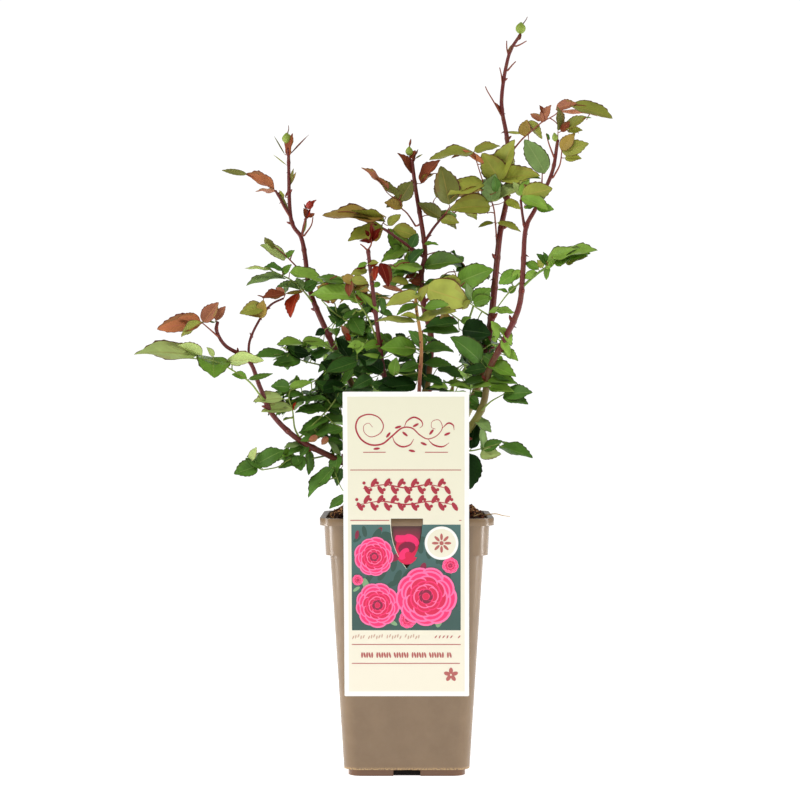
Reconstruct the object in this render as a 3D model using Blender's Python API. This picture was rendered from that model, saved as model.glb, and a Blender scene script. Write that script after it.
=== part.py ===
"""A young rose bush in its square nursery pot, with a stiff label hung over the pot's rim.

Lengths are in millimetres in the tables and in metres in the meshes. +X is to the right of the label,
-Y is the side that the label hangs on, and the origin is the centre of the pot's flat underside.
"""

from dataclasses import dataclass
from math import ceil, cos, pi, sin, sqrt

import bmesh
import bpy
from mathutils import Vector, noise

MM = 0.001
GAP = 0.35
"""Clearance kept between pieces that touch."""

# The pot: a moulded square tub with a stepped collar and a narrow flange round its mouth.
POT_HEIGHT = 268.0
LIP_HALF = 90.0
LIP_HEIGHT = 7.5
COLLAR_TOP_HALF = 85.5
COLLAR_FOOT_HALF = 84.0
COLLAR_FOOT_Z = 229.5
BODY_TOP_HALF = 79.5
BODY_FOOT_HALF = 64.5
FOOT_HALF = 61.0
FOOT_HEIGHT = 7.0
FLOOR_TOP = 10.0
WALL = 1.6
CORNER_SHARE = 0.24
CORNER_STEPS = 4
NOTCH_WIDTH = 28.0
NOTCH_DEPTH = 20.0
NOTCH_HEIGHT = 6.0
DRAIN_RADIUS = 5.0
DRAIN_SIDES = 10

# The slot in the flange that the label's tongue is pushed through.
SLOT_WIDTH = 35.0
SLOT_OUTER = 88.4
SLOT_INNER = 85.8

# The soil: a low mound of bark compost.
SOIL_EDGE_Z = 262.0
SOIL_TOP_Z = 275.0
SOIL_UNEVENNESS = 1.5
SOIL_WAVE = 14.0
SOIL_MOUND = ((0.88, 0.5), (0.72, 0.82), (0.45, 0.95), (0.2, 1.0))
"""The mound's rings, as shares of the soil's half width and of the mound's rise."""
SOIL_CALM_SHARE = 0.3
"""Inside this share of the half width the mound is level, where the graft union stands."""

# The label: a card that leans on the flange's lower edge and on the pot's wall.
CARD_WIDTH = 128.5
CARD_THICKNESS = 0.6
CARD_FOOT_Z = 84.0
CARD_TOP_Z = 398.0
TONGUE_HALF_WIDTH = 16.4
TONGUE_LENGTH = 52.0
TONGUE_SIDE_CUT = 1.4
TONGUE_FOLD = ((-0.8, 0.0), (-0.2, -0.4), (0.0, -1.2))
"""The tongue's fold into the slot: Y past the slot's middle, Z below the flat run over the flange."""
TONGUE_STEPS = 6
TONGUE_LEAN = 0.5

# The graft union that every cane springs from.
UNION_RADIUS = 16.0
UNION_TOP_Z = 301.0
UNION_SIDES = 12
UNION_LOBE = 0.06
UNION_FOOT_GAP = 0.4

CANE_SIDES = 6
CANE_STEP = 22.0
MASS_SIDES = 8
MASS_RINGS = 5
MASS_UNEVENNESS = 0.32
MASS_WAVE = 17.0
RAY_STEPS = 40
MASS_SPACING = 1.6
"""Half the air between two masses of foliage that meet."""


@dataclass(frozen=True)
class Limb:
    """A cane or side shoot: the limb that it springs from, its bends, and its radius at foot and tip."""

    name: str
    parent: str
    foot_radius: float
    tip_radius: float
    bends: tuple


@dataclass(frozen=True)
class Mass:
    """A mass of foliage, from where its limb bears it to its furthest leaf tip.

    `face` is the way the broad side of its leaves looks.
    """

    name: str
    start: tuple
    end: tuple
    width: float
    thickness: float
    face: tuple = (0.0, -0.75, 0.66)


UPRIGHT = (0.0, -1.0, 0.2)
"""The face of a mass that stands on end."""
BACKWARD = (0.0, 0.6, 0.8)
"""The face of a mass at the back of the crown."""

LIMBS = (
    Limb("cane_tall_left", "graft_union", 3.6, 1.4, (
        (-7, 4, 292), (-33, 16, 347), (-56, 28, 400), (-87, 45, 469), (-103, 56, 509),
        (-110, 64, 548), (-115, 68, 568), (-127, 72, 591), (-130, 83, 667),
    )),
    Limb("cane_low_left", "graft_union", 3.2, 1.4, (
        (-9, -3, 290), (-39, -15, 311), (-79, -30, 330), (-114, -43, 349), (-140, -55, 375),
        (-152, -64, 403), (-163, -72, 430), (-186, -80, 445), (-195, -84, 460), (-194, -86, 470),
    )),
    Limb("cane_red_left", "graft_union", 2.4, 1.3, (
        (-4, -6, 294), (-13, -14, 347), (-25, -30, 424), (-31, -45, 468), (-36, -62, 510),
        (-40, -76, 544),
    )),
    Limb("cane_centre", "graft_union", 3.8, 1.5, (
        (2, 4, 294), (14, 12, 358), (24, 22, 422), (26, 30, 460), (19, 38, 489), (16, 48, 525),
        (20, 55, 554), (10, 70, 621), (6, 76, 653),
    )),
    Limb("cane_front_thin", "graft_union", 2.4, 1.4, (
        (5, -9, 290), (12, -32, 342), (13, -50, 401), (15, -62, 447), (10, -70, 482), (9, -77, 497),
    )),
    Limb("cane_tall_right", "graft_union", 3.8, 1.3, (
        (8, 2, 292), (49, 14, 347), (77, 28, 406), (91, 44, 473), (96, 56, 526), (102, 66, 573),
        (112, 76, 623), (111, 84, 675), (105, 90, 719), (113, 94, 770), (126, 96, 794),
    )),
    Limb("cane_arched_right", "graft_union", 3.6, 1.3, (
        (7, -4, 290), (40, -14, 328), (77, -28, 377), (86, -40, 420), (97, -47, 447),
        (114, -58, 485), (120, -67, 524), (123, -74, 565), (133, -77, 587), (149, -80, 623),
        (155, -82, 657),
    )),
    Limb("cane_back_left", "graft_union", 3.0, 1.4, (
        (-5, 7, 291), (-16, 35, 325), (-29, 70, 357), (-43, 140, 421),
    )),
    Limb("cane_back_right", "graft_union", 3.0, 1.4, (
        (4, 8, 291), (20, 38, 325), (37, 72, 357), (58, 145, 426),
    )),
    Limb("shoot_left_outer", "cane_tall_left", 1.6, 1.3, (
        (-127, 72, 590), (-137, 66, 608), (-143, 60, 618),
    )),
    Limb("shoot_left_inner", "cane_tall_left", 1.6, 1.3, (
        (-115, 68, 567), (-111, 64, 584), (-107, 61, 596),
    )),
    Limb("shoot_left_bowed", "cane_low_left", 1.6, 1.3, (
        (-163, -72, 429), (-162, -70, 450), (-153, -66, 472), (-142, -62, 489), (-128, -58, 495),
    )),
    Limb("shoot_centre_left", "cane_centre", 1.9, 1.4, (
        (19, 53, 545), (-6, 42, 562), (-21, 33, 572), (-34, 26, 578),
    )),
    Limb("shoot_centre_right", "cane_centre", 1.6, 1.3, (
        (19, 56, 560), (29, 50, 576), (42, 44, 591),
    )),
    Limb("shoot_right_side", "cane_arched_right", 1.5, 1.2, (
        (117, -62, 504), (132, -70, 518), (145, -76, 527),
    )),
    Limb("shoot_right_inner", "cane_arched_right", 1.6, 1.3, (
        (123, -74, 560), (120, -66, 578), (118, -60, 597),
    )),
)

MASSES = (
    Mass("foliage_left_tip", (-130, 81, 652), (-129, 86, 697), 15, 12, UPRIGHT),
    Mass("foliage_left_curl", (-136, 64, 611), (-203, 38, 642), 20, 12),
    Mass("foliage_left_tuft", (-110, 64, 586), (-99, 58, 613), 16, 12, UPRIGHT),
    Mass("foliage_left_upper", (-108, 62, 536), (-160, 25, 566), 34, 12),
    Mass("foliage_left_band", (-86, 50, 506), (-175, 4, 524), 40, 26),
    Mass("foliage_left_bow", (-104, -56, 494), (-176, -76, 484), 36, 16),
    Mass("foliage_left_red", (-186, -86, 462), (-257, -100, 474), 34, 14),
    Mass("foliage_left_far", (-148, -65, 414), (-277, -106, 446), 36, 16),
    Mass("foliage_left_inner_upper", (-58, 34, 440), (-166, -12, 444), 46, 34),
    Mass("foliage_left_inner_lower", (-75, -5, 392), (-166, -58, 390), 46, 40),
    Mass("foliage_left_low", (-58, -24, 318), (-179, -62, 322), 44, 30),
    Mass("foliage_left_hang", (-80, -31, 330), (-92, -50, 288), 30, 14, UPRIGHT),
    Mass("foliage_centre_left_band", (-18, -54, 492), (-105, -30, 512), 40, 24),
    Mass("foliage_centre_left_dark", (-16, -40, 470), (-86, 5, 474), 52, 40),
    Mass("foliage_centre_red", (-37, -64, 512), (-38, -88, 577), 34, 18, UPRIGHT),
    Mass("foliage_centre_bronze", (-20, 33, 572), (-93, 4, 592), 34, 14),
    Mass("foliage_centre_mid", (30, 48, 520), (-30, 10, 538), 46, 36),
    Mass("foliage_centre_tip", (8, 72, 634), (4, 80, 682), 22, 16, UPRIGHT),
    Mass("foliage_centre_curl", (24, 66, 604), (-53, 40, 634), 34, 20),
    Mass("foliage_centre_right_top", (17, 60, 577), (38, 62, 657), 46, 24, UPRIGHT),
    Mass("foliage_centre_right_olive", (33, 48, 579), (94, 18, 606), 44, 16),
    Mass("foliage_centre_right_mid", (18, 50, 538), (96, 18, 524), 46, 34),
    Mass("foliage_front_tip", (-26, -70, 492), (70, -88, 506), 44, 18),
    Mass("foliage_core_front", (-44, -40, 430), (58, -50, 440), 84, 46),
    Mass("foliage_core_left", (-80, 34, 468), (-92, -32, 332), 60, 50, UPRIGHT),
    Mass("foliage_core_right", (56, 46, 428), (106, 2, 456), 86, 48),
    Mass("foliage_right_low_upper", (80, -32, 392), (133, -62, 397), 34, 16),
    Mass("foliage_right_low", (49, -17, 340), (135, -56, 343), 44, 26),
    Mass("foliage_right_hang", (58, -21, 352), (70, -34, 296), 24, 12, UPRIGHT),
    Mass("foliage_right_band", (140, -66, 508), (90, -58, 520), 46, 24),
    Mass("foliage_right_spray", (136, -72, 521), (198, -97, 549), 32, 14),
    Mass("foliage_right_cluster_left", (103, 67, 592), (24, 34, 661), 52, 24),
    Mass("foliage_right_cluster_mid", (112, 74, 622), (100, 60, 676), 46, 26, UPRIGHT),
    Mass("foliage_right_inner", (118, -58, 586), (133, -66, 663), 48, 26, UPRIGHT),
    Mass("foliage_right_compound", (111, 83, 668), (225, 28, 708), 32, 14),
    Mass("foliage_right_top", (152, -80, 636), (176, -90, 697), 42, 18, UPRIGHT),
    Mass("foliage_right_tip", (120, 95, 782), (139, 97, 816), 15, 13, UPRIGHT),
    Mass("foliage_back_left", (-22, 104, 388), (-102, 182, 462), 100, 44, BACKWARD),
    Mass("foliage_back_right", (36, 104, 388), (112, 182, 462), 100, 44, BACKWARD),
    Mass("foliage_back_low", (-74, 54, 364), (78, 58, 364), 84, 54, BACKWARD),
)


def clear_scene():
    """Removes whatever objects the scene holds."""
    for obj in list(bpy.data.objects):
        bpy.data.objects.remove(obj)


def material(name, colour, roughness):
    """Returns a plain Principled material of this linear base colour."""
    made = bpy.data.materials.new(name)
    made.use_nodes = True
    surface = made.node_tree.nodes["Principled BSDF"]
    surface.inputs["Base Color"].default_value = (*colour, 1.0)
    surface.inputs["Roughness"].default_value = roughness
    surface.inputs["Metallic"].default_value = 0.0
    return made


def add_object(name, bm, finish=None):
    """Makes a named object of this bmesh, whose coordinates are in millimetres."""
    bmesh.ops.scale(bm, vec=(MM, MM, MM), verts=bm.verts)
    bmesh.ops.recalc_face_normals(bm, faces=bm.faces)
    mesh = bpy.data.meshes.new(name)
    bm.to_mesh(mesh)
    bm.free()
    if finish:
        mesh.materials.append(finish)
    obj = bpy.data.objects.new(name, mesh)
    bpy.context.scene.collection.objects.link(obj)
    return obj


def add_cutter(name, bm):
    """Makes a hidden object that only cuts others."""
    obj = add_object(name, bm)
    obj.hide_render = True
    obj.display_type = "WIRE"
    return obj


def add_boolean(obj, other, operation="DIFFERENCE"):
    """Puts one exact Boolean on `obj`."""
    cut = obj.modifiers.new(other.name, "BOOLEAN")
    cut.operation = operation
    cut.solver = "EXACT"
    cut.object = other


def bridge(bm, rings, closed=False):
    """Joins rings of equally many vertices by faces, and caps both ends unless the stack is closed."""
    pairs = list(zip(rings, rings[1:]))
    if closed:
        pairs.append((rings[-1], rings[0]))
    for lower, upper in pairs:
        count = len(lower)
        for i in range(count):
            j = (i + 1) % count
            bm.faces.new((lower[i], lower[j], upper[j], upper[i]))
    if not closed:
        bm.faces.new(rings[0])
        bm.faces.new(rings[-1])


def rounded_square(bm, half, corner, z):
    """Adds a ring of vertices round a square with round corners."""
    ring = []
    for quarter in range(4):
        turn = quarter * pi / 2
        centre = Vector((half - corner, half - corner))
        for step in range(CORNER_STEPS + 1):
            angle = step / CORNER_STEPS * pi / 2
            x = centre.x + corner * cos(angle)
            y = centre.y + corner * sin(angle)
            ring.append(bm.verts.new((x * cos(turn) - y * sin(turn), x * sin(turn) + y * cos(turn), z)))
    return ring


def box(centre, size):
    """Returns a bmesh box."""
    bm = bmesh.new()
    bmesh.ops.create_cube(bm, size=1.0)
    bmesh.ops.scale(bm, vec=size, verts=bm.verts)
    bmesh.ops.translate(bm, vec=centre, verts=bm.verts)
    return bm


def body_half(z):
    """Half the width of the pot's tapering body at a height."""
    share = (z - FOOT_HEIGHT) / (COLLAR_FOOT_Z - FOOT_HEIGHT)
    return BODY_FOOT_HALF + share * (BODY_TOP_HALF - BODY_FOOT_HALF)


def collar_half(z):
    """Half the width of the pot's collar at a height."""
    share = (z - COLLAR_FOOT_Z) / (POT_HEIGHT - LIP_HEIGHT - COLLAR_FOOT_Z)
    return COLLAR_FOOT_HALF + share * (COLLAR_TOP_HALF - COLLAR_FOOT_HALF)


def ring_stack(profile):
    """Returns a bmesh and its rings, which are rounded squares given as (half width, height)."""
    bm = bmesh.new()
    rings = [rounded_square(bm, half, half * CORNER_SHARE, z) for half, z in profile]
    return bm, rings


def build_pot():
    """The pot: a shell open at the top, with drain notches in its foot and a slot in its flange."""
    ledge = COLLAR_FOOT_Z + WALL
    mouth = COLLAR_TOP_HALF - WALL
    profile = (
        (FOOT_HALF, 0.0),
        (FOOT_HALF, FOOT_HEIGHT),
        (BODY_FOOT_HALF, FOOT_HEIGHT),
        (BODY_TOP_HALF, COLLAR_FOOT_Z),
        (COLLAR_FOOT_HALF, COLLAR_FOOT_Z),
        (COLLAR_TOP_HALF, POT_HEIGHT - LIP_HEIGHT),
        (LIP_HALF, POT_HEIGHT - LIP_HEIGHT),
        (LIP_HALF, POT_HEIGHT),
        (mouth, POT_HEIGHT),
        (collar_half(ledge) - WALL, ledge),
        (body_half(ledge) - WALL, ledge),
        (body_half(FLOOR_TOP) - WALL, FLOOR_TOP),
    )
    bm, rings = ring_stack(profile)
    bridge(bm, rings)
    finish = material("pot_plastic", (0.29, 0.21, 0.14), 0.42)
    pot = add_object("pot", bm, finish)
    reach = FOOT_HALF - NOTCH_DEPTH / 2 + 1
    for side, (x, y) in enumerate(((0, -1), (1, 0), (0, 1), (-1, 0))):
        size = (NOTCH_WIDTH, NOTCH_DEPTH) if x == 0 else (NOTCH_DEPTH, NOTCH_WIDTH)
        notch = box((x * reach, y * reach, 0), (*size, 2 * NOTCH_HEIGHT))
        add_boolean(pot, add_cutter(f"cut_notch_{side}", notch))
        drain = bmesh.new()
        bmesh.ops.create_cone(
            drain,
            cap_ends=True,
            segments=DRAIN_SIDES,
            radius1=DRAIN_RADIUS,
            radius2=DRAIN_RADIUS,
            depth=4 * FLOOR_TOP,
        )
        bmesh.ops.translate(drain, vec=(x * reach, y * reach, FLOOR_TOP / 2), verts=drain.verts)
        add_boolean(pot, add_cutter(f"cut_drain_{side}", drain))
    slot_y = -(SLOT_OUTER + SLOT_INNER) / 2
    slot = box((0, slot_y, POT_HEIGHT), (SLOT_WIDTH, SLOT_OUTER - SLOT_INNER, 4 * LIP_HEIGHT))
    add_boolean(pot, add_cutter("cut_slot", slot))
    return pot


def build_soil():
    """The compost: it fills the pot with a small clearance and rises to an uneven mound."""
    ledge = COLLAR_FOOT_Z + WALL
    clear = WALL + GAP
    bm, rings = ring_stack((
        (body_half(FLOOR_TOP + GAP) - clear, FLOOR_TOP + GAP),
        (body_half(ledge) - clear, ledge + GAP),
        (collar_half(ledge) - clear, ledge + GAP),
        (collar_half(SOIL_EDGE_Z) - clear, SOIL_EDGE_Z),
    ))
    edge_half = collar_half(SOIL_EDGE_Z) - clear
    for share, rise in SOIL_MOUND:
        z = SOIL_EDGE_Z + rise * (SOIL_TOP_Z - SOIL_EDGE_Z)
        half = edge_half * share
        ring = rounded_square(bm, half, half * (1.0 - share / 1.1), z)
        if share > SOIL_CALM_SHARE:
            for vertex in ring:
                vertex.co.z += SOIL_UNEVENNESS * noise.noise(vertex.co / SOIL_WAVE)
        rings.append(ring)
    bridge(bm, rings)
    return add_object("soil", bm, material("bark_compost", (0.045, 0.022, 0.012), 0.95))


def card_slope():
    """How far the card's back moves forward for each millimetre up."""
    low = body_half(CARD_FOOT_Z) + GAP
    high = LIP_HALF + GAP
    return (high - low) / (POT_HEIGHT - LIP_HEIGHT - CARD_FOOT_Z)


def card_back(z):
    """The Y of the card's back at a height."""
    return -(LIP_HALF + GAP) - card_slope() * (z - (POT_HEIGHT - LIP_HEIGHT))


def tongue_half_width(share):
    """Half the tongue's width at a share of the way from its hinge to its round tip."""
    return TONGUE_HALF_WIDTH * (1.0 - share**2.5)


def card_tongue():
    """Returns a bmesh of the tongue: it folds back over the flange and hangs down through the slot."""
    top = POT_HEIGHT + GAP + CARD_THICKNESS / 2
    slot_y = -(SLOT_OUTER + SLOT_INNER) / 2
    path = [Vector((card_back(top) - CARD_THICKNESS / 2, top))]
    path += [Vector((slot_y + y, top + z)) for y, z in TONGUE_FOLD]
    fold = path[-1]
    hang = TONGUE_LENGTH - sum((b - a).length for a, b in zip(path, path[1:]))
    for step in range(1, TONGUE_STEPS + 1):
        share = step / TONGUE_STEPS
        path.append(fold + share * Vector((TONGUE_LEAN, -hang)))
    bm = bmesh.new()
    rings = []
    run = 0.0
    for i, point in enumerate(path):
        if i:
            run += (point - path[i - 1]).length
        ahead = path[min(i + 1, len(path) - 1)] - path[max(i - 1, 0)]
        ahead.normalize()
        across = Vector((-ahead.y, ahead.x)) * CARD_THICKNESS / 2
        half = max(tongue_half_width(run / TONGUE_LENGTH) - TONGUE_SIDE_CUT, 1.0)
        corners = ((-half, 1), (half, 1), (half, -1), (-half, -1))
        rings.append([
            bm.verts.new((x, point.x + side * across.x, point.y + side * across.y)) for x, side in corners
        ])
    bridge(bm, rings)
    return bm


def build_label():
    """The label: a leaning card with a shield-shaped opening, whose tongue holds it on the flange."""
    bm = bmesh.new()
    rings = []
    for z in (CARD_FOOT_Z, CARD_TOP_Z):
        back = card_back(z)
        front = back - CARD_THICKNESS
        half = CARD_WIDTH / 2
        corners = ((-half, back), (half, back), (half, front), (-half, front))
        rings.append([bm.verts.new((x, y, z)) for x, y in corners])
    bridge(bm, rings)
    label = add_object("label", bm, material("label_card", (0.86, 0.82, 0.65), 0.4))
    hinge_z = POT_HEIGHT + GAP
    sides = []
    for step in range(TONGUE_STEPS):
        share = step / TONGUE_STEPS
        sides.append((tongue_half_width(share), hinge_z - share * TONGUE_LENGTH))
    outline = [(-x, z) for x, z in sides] + [(0.0, hinge_z - TONGUE_LENGTH)]
    outline += [(x, z) for x, z in reversed(sides)]
    opening = bmesh.new()
    near = [opening.verts.new((x, -LIP_HALF - 20, z)) for x, z in outline]
    far = [opening.verts.new((x, -COLLAR_FOOT_HALF + 20, z)) for x, z in outline]
    bridge(opening, [near, far])
    add_boolean(label, add_cutter("cut_opening", opening))
    add_boolean(label, add_cutter("join_tongue", card_tongue()), "UNION")
    return label


def union_shape(extra=0.0):
    """Returns a bmesh of the graft union, fattened by `extra`: a knob with a flat foot."""
    profile = (
        (0.72, SOIL_TOP_Z + UNION_FOOT_GAP - extra),
        (1.0, SOIL_TOP_Z + 9.0),
        (0.98, UNION_TOP_Z - 9.0),
        (0.7, UNION_TOP_Z - 1.5),
        (0.35, UNION_TOP_Z + extra),
    )
    bm = bmesh.new()
    rings = []
    for share, z in profile:
        ring = []
        for side in range(UNION_SIDES):
            angle = side * 2 * pi / UNION_SIDES
            lobes = 1.0 + UNION_LOBE * sin(3 * angle + z / 9.0)
            radius = UNION_RADIUS * share * lobes + extra
            ring.append(bm.verts.new((radius * cos(angle), radius * sin(angle), z)))
        rings.append(ring)
    bridge(bm, rings)
    return bm


def smooth_route(bends):
    """Reads a Catmull-Rom curve through the bends about every CANE_STEP."""
    points = [Vector(bend) for bend in bends]
    ends = [2 * points[0] - points[1], *points, 2 * points[-1] - points[-2]]
    route = [points[0]]
    for i in range(1, len(ends) - 2):
        before, here, there, after = ends[i - 1 : i + 3]
        steps = ceil((there - here).length / CANE_STEP)
        for step in range(1, steps + 1):
            t = step / steps
            route.append(
                0.5 * (
                    2 * here
                    + (there - before) * t
                    + (2 * before - 5 * here + 4 * there - after) * t * t
                    + (3 * here - before - 3 * there + after) * t**3
                )
            )
    return route


def limb_shape(limb, extra=0.0):
    """Returns a bmesh of one tapering limb, fattened by `extra`."""
    route = smooth_route(limb.bends)
    length = sum((b - a).length for a, b in zip(route, route[1:]))
    bm = bmesh.new()
    rings = []
    run = 0.0
    for i, point in enumerate(route):
        if i:
            run += (point - route[i - 1]).length
        ahead = (route[min(i + 1, len(route) - 1)] - route[max(i - 1, 0)]).normalized()
        side = ahead.cross(Vector((0, 1, 0))).normalized()
        other = side.cross(ahead)
        radius = limb.foot_radius + run / length * (limb.tip_radius - limb.foot_radius) + extra
        if i == len(route) - 1:
            point = point + ahead * extra
        ring = []
        for step in range(CANE_SIDES):
            angle = step * 2 * pi / CANE_SIDES
            ring.append(bm.verts.new(point + radius * (cos(angle) * side + sin(angle) * other)))
        rings.append(ring)
    bridge(bm, rings)
    return bm


class Lump:
    """The egg-shaped space that a mass of foliage fills."""

    def __init__(self, mass):
        """Works out the centre, the three axes and their half lengths."""
        start = Vector(mass.start)
        end = Vector(mass.end)
        along = end - start
        self.name = mass.name
        self.centre = (start + end) / 2
        self.halves = (along.length / 2, mass.width / 2, mass.thickness / 2)
        first = along.normalized()
        second = Vector(mass.face).cross(first).normalized()
        self.axes = (first, second, first.cross(second))

    def measure(self, point):
        """Returns 0 at the centre and 1 on the egg's surface."""
        offset = point - self.centre
        return sqrt(sum((offset.dot(axis) / half) ** 2 for axis, half in zip(self.axes, self.halves)))

    def surface(self, slant, turn):
        """Returns the uneven surface's point at two angles. Its two ends stay true."""
        parts = (-cos(slant), sin(slant) * cos(turn), sin(slant) * sin(turn))
        offset = Vector()
        for part, axis, half in zip(parts, self.axes, self.halves):
            offset += part * half * axis
        swell = sin(slant) * noise.noise((self.centre + offset) / MASS_WAVE)
        return self.centre + offset * (1.0 + MASS_UNEVENNESS * swell)

    def kept(self, point, others):
        """Draws a surface point in, so that its ray stays nearer to this egg than to any other.

        Nearness is in each egg's own measure, and MASS_SPACING is left before the place where they meet.
        """
        ray = point - self.centre
        for step in range(1, RAY_STEPS + 1):
            place = self.centre + ray * step / RAY_STEPS
            if any(other.measure(place) < self.measure(place) for other in others):
                reach = (step - 1) / RAY_STEPS
                return self.centre + ray * max(reach - MASS_SPACING / ray.length, 0.5 / RAY_STEPS)
        return point


def mass_shape(lump, others, extra=0.0):
    """Returns a bmesh of a mass of foliage, drawn in where a neighbour meets it and fattened by `extra`."""
    near = []
    for other in others:
        if (other.centre - lump.centre).length < lump.halves[0] + other.halves[0]:
            near.append(other)
    bm = bmesh.new()
    first = bm.verts.new(lump.kept(lump.surface(0.0, 0.0), near))
    last = bm.verts.new(lump.kept(lump.surface(pi, 0.0), near))
    rings = []
    for ring in range(1, MASS_RINGS + 1):
        slant = ring * pi / (MASS_RINGS + 1)
        turns = (step * 2 * pi / MASS_SIDES for step in range(MASS_SIDES))
        rings.append([bm.verts.new(lump.kept(lump.surface(slant, turn), near)) for turn in turns])
    for lower, upper in zip(rings, rings[1:]):
        for i in range(MASS_SIDES):
            j = (i + 1) % MASS_SIDES
            bm.faces.new((lower[i], lower[j], upper[j], upper[i]))
    for i in range(MASS_SIDES):
        j = (i + 1) % MASS_SIDES
        bm.faces.new((first, rings[0][j], rings[0][i]))
        bm.faces.new((last, rings[-1][i], rings[-1][j]))
    for vertex in bm.verts:
        vertex.co += (vertex.co - lump.centre).normalized() * extra
    bmesh.ops.triangulate(bm, faces=bm.faces)
    return bm


def box_of(obj):
    """The corners of an object's bounding box."""
    places = [vertex.co for vertex in obj.data.vertices]
    low = Vector([min(place[i] for place in places) for i in range(3)])
    high = Vector([max(place[i] for place in places) for i in range(3)])
    return low, high


def boxes_meet(first, second):
    """Whether two objects' bounding boxes overlap."""
    low, high = box_of(first)
    other_low, other_high = box_of(second)
    return all(low[i] < other_high[i] and other_low[i] < high[i] for i in range(3))


def keep_largest_body(obj):
    """Applies the object's modifiers and drops the slivers that a cut left."""
    graph = bpy.context.evaluated_depsgraph_get()
    mesh = bpy.data.meshes.new_from_object(obj.evaluated_get(graph))
    obj.modifiers.clear()
    obj.data = mesh
    bm = bmesh.new()
    bm.from_mesh(mesh)
    unseen = set(bm.verts)
    bodies = []
    while unseen:
        edge_of_search = [unseen.pop()]
        body = set(edge_of_search)
        while edge_of_search:
            vertex = edge_of_search.pop()
            for edge in vertex.link_edges:
                other = edge.other_vert(vertex)
                if other in unseen:
                    unseen.remove(other)
                    body.add(other)
                    edge_of_search.append(other)
        bodies.append(body)
    bodies.sort(key=len)
    for body in bodies[:-1]:
        bmesh.ops.delete(bm, geom=list(body), context="VERTS")
    bm.to_mesh(mesh)
    bm.free()


def build_plant():
    """The graft union, the canes and shoots that spring from it, and the masses of foliage round them."""
    wood = material("green_bark", (0.09, 0.05, 0.02), 0.7)
    red_bark = material("red_bark", (0.12, 0.02, 0.02), 0.5)
    leaf = material("leaves", (0.07, 0.16, 0.03), 0.5)
    add_object("graft_union", union_shape(), wood)
    cutters = {"graft_union": add_cutter("cut_graft_union", union_shape(GAP))}
    for limb in LIMBS:
        cutters[limb.name] = add_cutter(f"cut_{limb.name}", limb_shape(limb, GAP))
    for limb in LIMBS:
        piece = add_object(limb.name, limb_shape(limb), red_bark)
        add_boolean(piece, cutters[limb.parent])
        keep_largest_body(piece)
    lumps = [Lump(mass) for mass in MASSES]
    for lump in lumps:
        others = [other for other in lumps if other is not lump]
        mass = add_object(lump.name, mass_shape(lump, others), leaf)
        for cutter in cutters.values():
            if boxes_meet(mass, cutter):
                add_boolean(mass, cutter)
        keep_largest_body(mass)
        cutters[lump.name] = add_cutter(f"cut_{lump.name}", mass_shape(lump, others, 2 * GAP))


def main():
    """Builds every piece."""
    clear_scene()
    build_pot()
    build_soil()
    build_label()
    build_plant()


main()
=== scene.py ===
"""A young rose bush in its square nursery pot, with a hanging plant label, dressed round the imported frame."""

import logging
import random
from dataclasses import dataclass, field
from enum import Enum, IntEnum
from math import acos, ceil, cos, exp, hypot, pi, radians, sin
from typing import Iterable, Sequence

import bmesh
import bpy
import numpy as np
from bmesh.types import BMEdge, BMesh, BMVert
from bpy.types import ID, Material, Mesh, NodeSocket, NodeTree, Object
from mathutils import Matrix, Vector, noise
from mathutils.kdtree import KDTree

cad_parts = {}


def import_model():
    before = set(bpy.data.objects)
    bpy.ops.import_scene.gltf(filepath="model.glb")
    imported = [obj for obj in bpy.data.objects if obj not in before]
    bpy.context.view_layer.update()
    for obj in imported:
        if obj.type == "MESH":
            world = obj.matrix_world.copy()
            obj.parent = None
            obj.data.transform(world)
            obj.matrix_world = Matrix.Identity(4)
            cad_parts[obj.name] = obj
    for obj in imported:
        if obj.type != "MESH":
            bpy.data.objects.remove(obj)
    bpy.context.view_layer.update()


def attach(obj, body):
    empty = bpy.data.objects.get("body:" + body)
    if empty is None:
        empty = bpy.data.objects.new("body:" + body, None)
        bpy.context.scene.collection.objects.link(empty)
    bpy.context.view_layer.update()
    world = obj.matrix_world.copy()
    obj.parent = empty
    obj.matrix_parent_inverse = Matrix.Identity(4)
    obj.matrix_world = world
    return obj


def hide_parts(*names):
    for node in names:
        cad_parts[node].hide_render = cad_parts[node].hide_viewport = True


LOG = logging.getLogger("rose_bush")
MM = 0.001
ROOT = "root"
SHARE, FIRST, SECOND, MIXED = 0, 6, 7, 2
"""The Mix node's inputs and its output, when it mixes colours."""

Pair = tuple[float, float]
Triple = tuple[float, float, float]
Blade = tuple[float, float, float, float, float, float, float, str]


# ---- nodes and finishes


def srgb(code: str) -> tuple[float, float, float, float]:
    """Turns an sRGB hex colour into linear light.

    Args:
        code: The colour as "#rrggbb".

    Returns:
        Red, green, blue and an alpha of 1.
    """
    parts = [int(code[i : i + 2], 16) / 255 for i in (1, 3, 5)]
    red, green, blue = (p / 12.92 if p <= 0.04045 else ((p + 0.055) / 1.055) ** 2.4 for p in parts)
    return red, green, blue, 1.0


def put(tree: NodeTree, socket: NodeSocket, value: NodeSocket | Sequence[float] | float) -> None:
    """Links an input to the socket that feeds it, or sets it to a value.

    Args:
        tree: The node tree.
        socket: The input.
        value: Its value, or the socket that feeds it.
    """
    if isinstance(value, NodeSocket):
        tree.links.new(value, socket)
    else:
        socket.default_value = value


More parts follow.
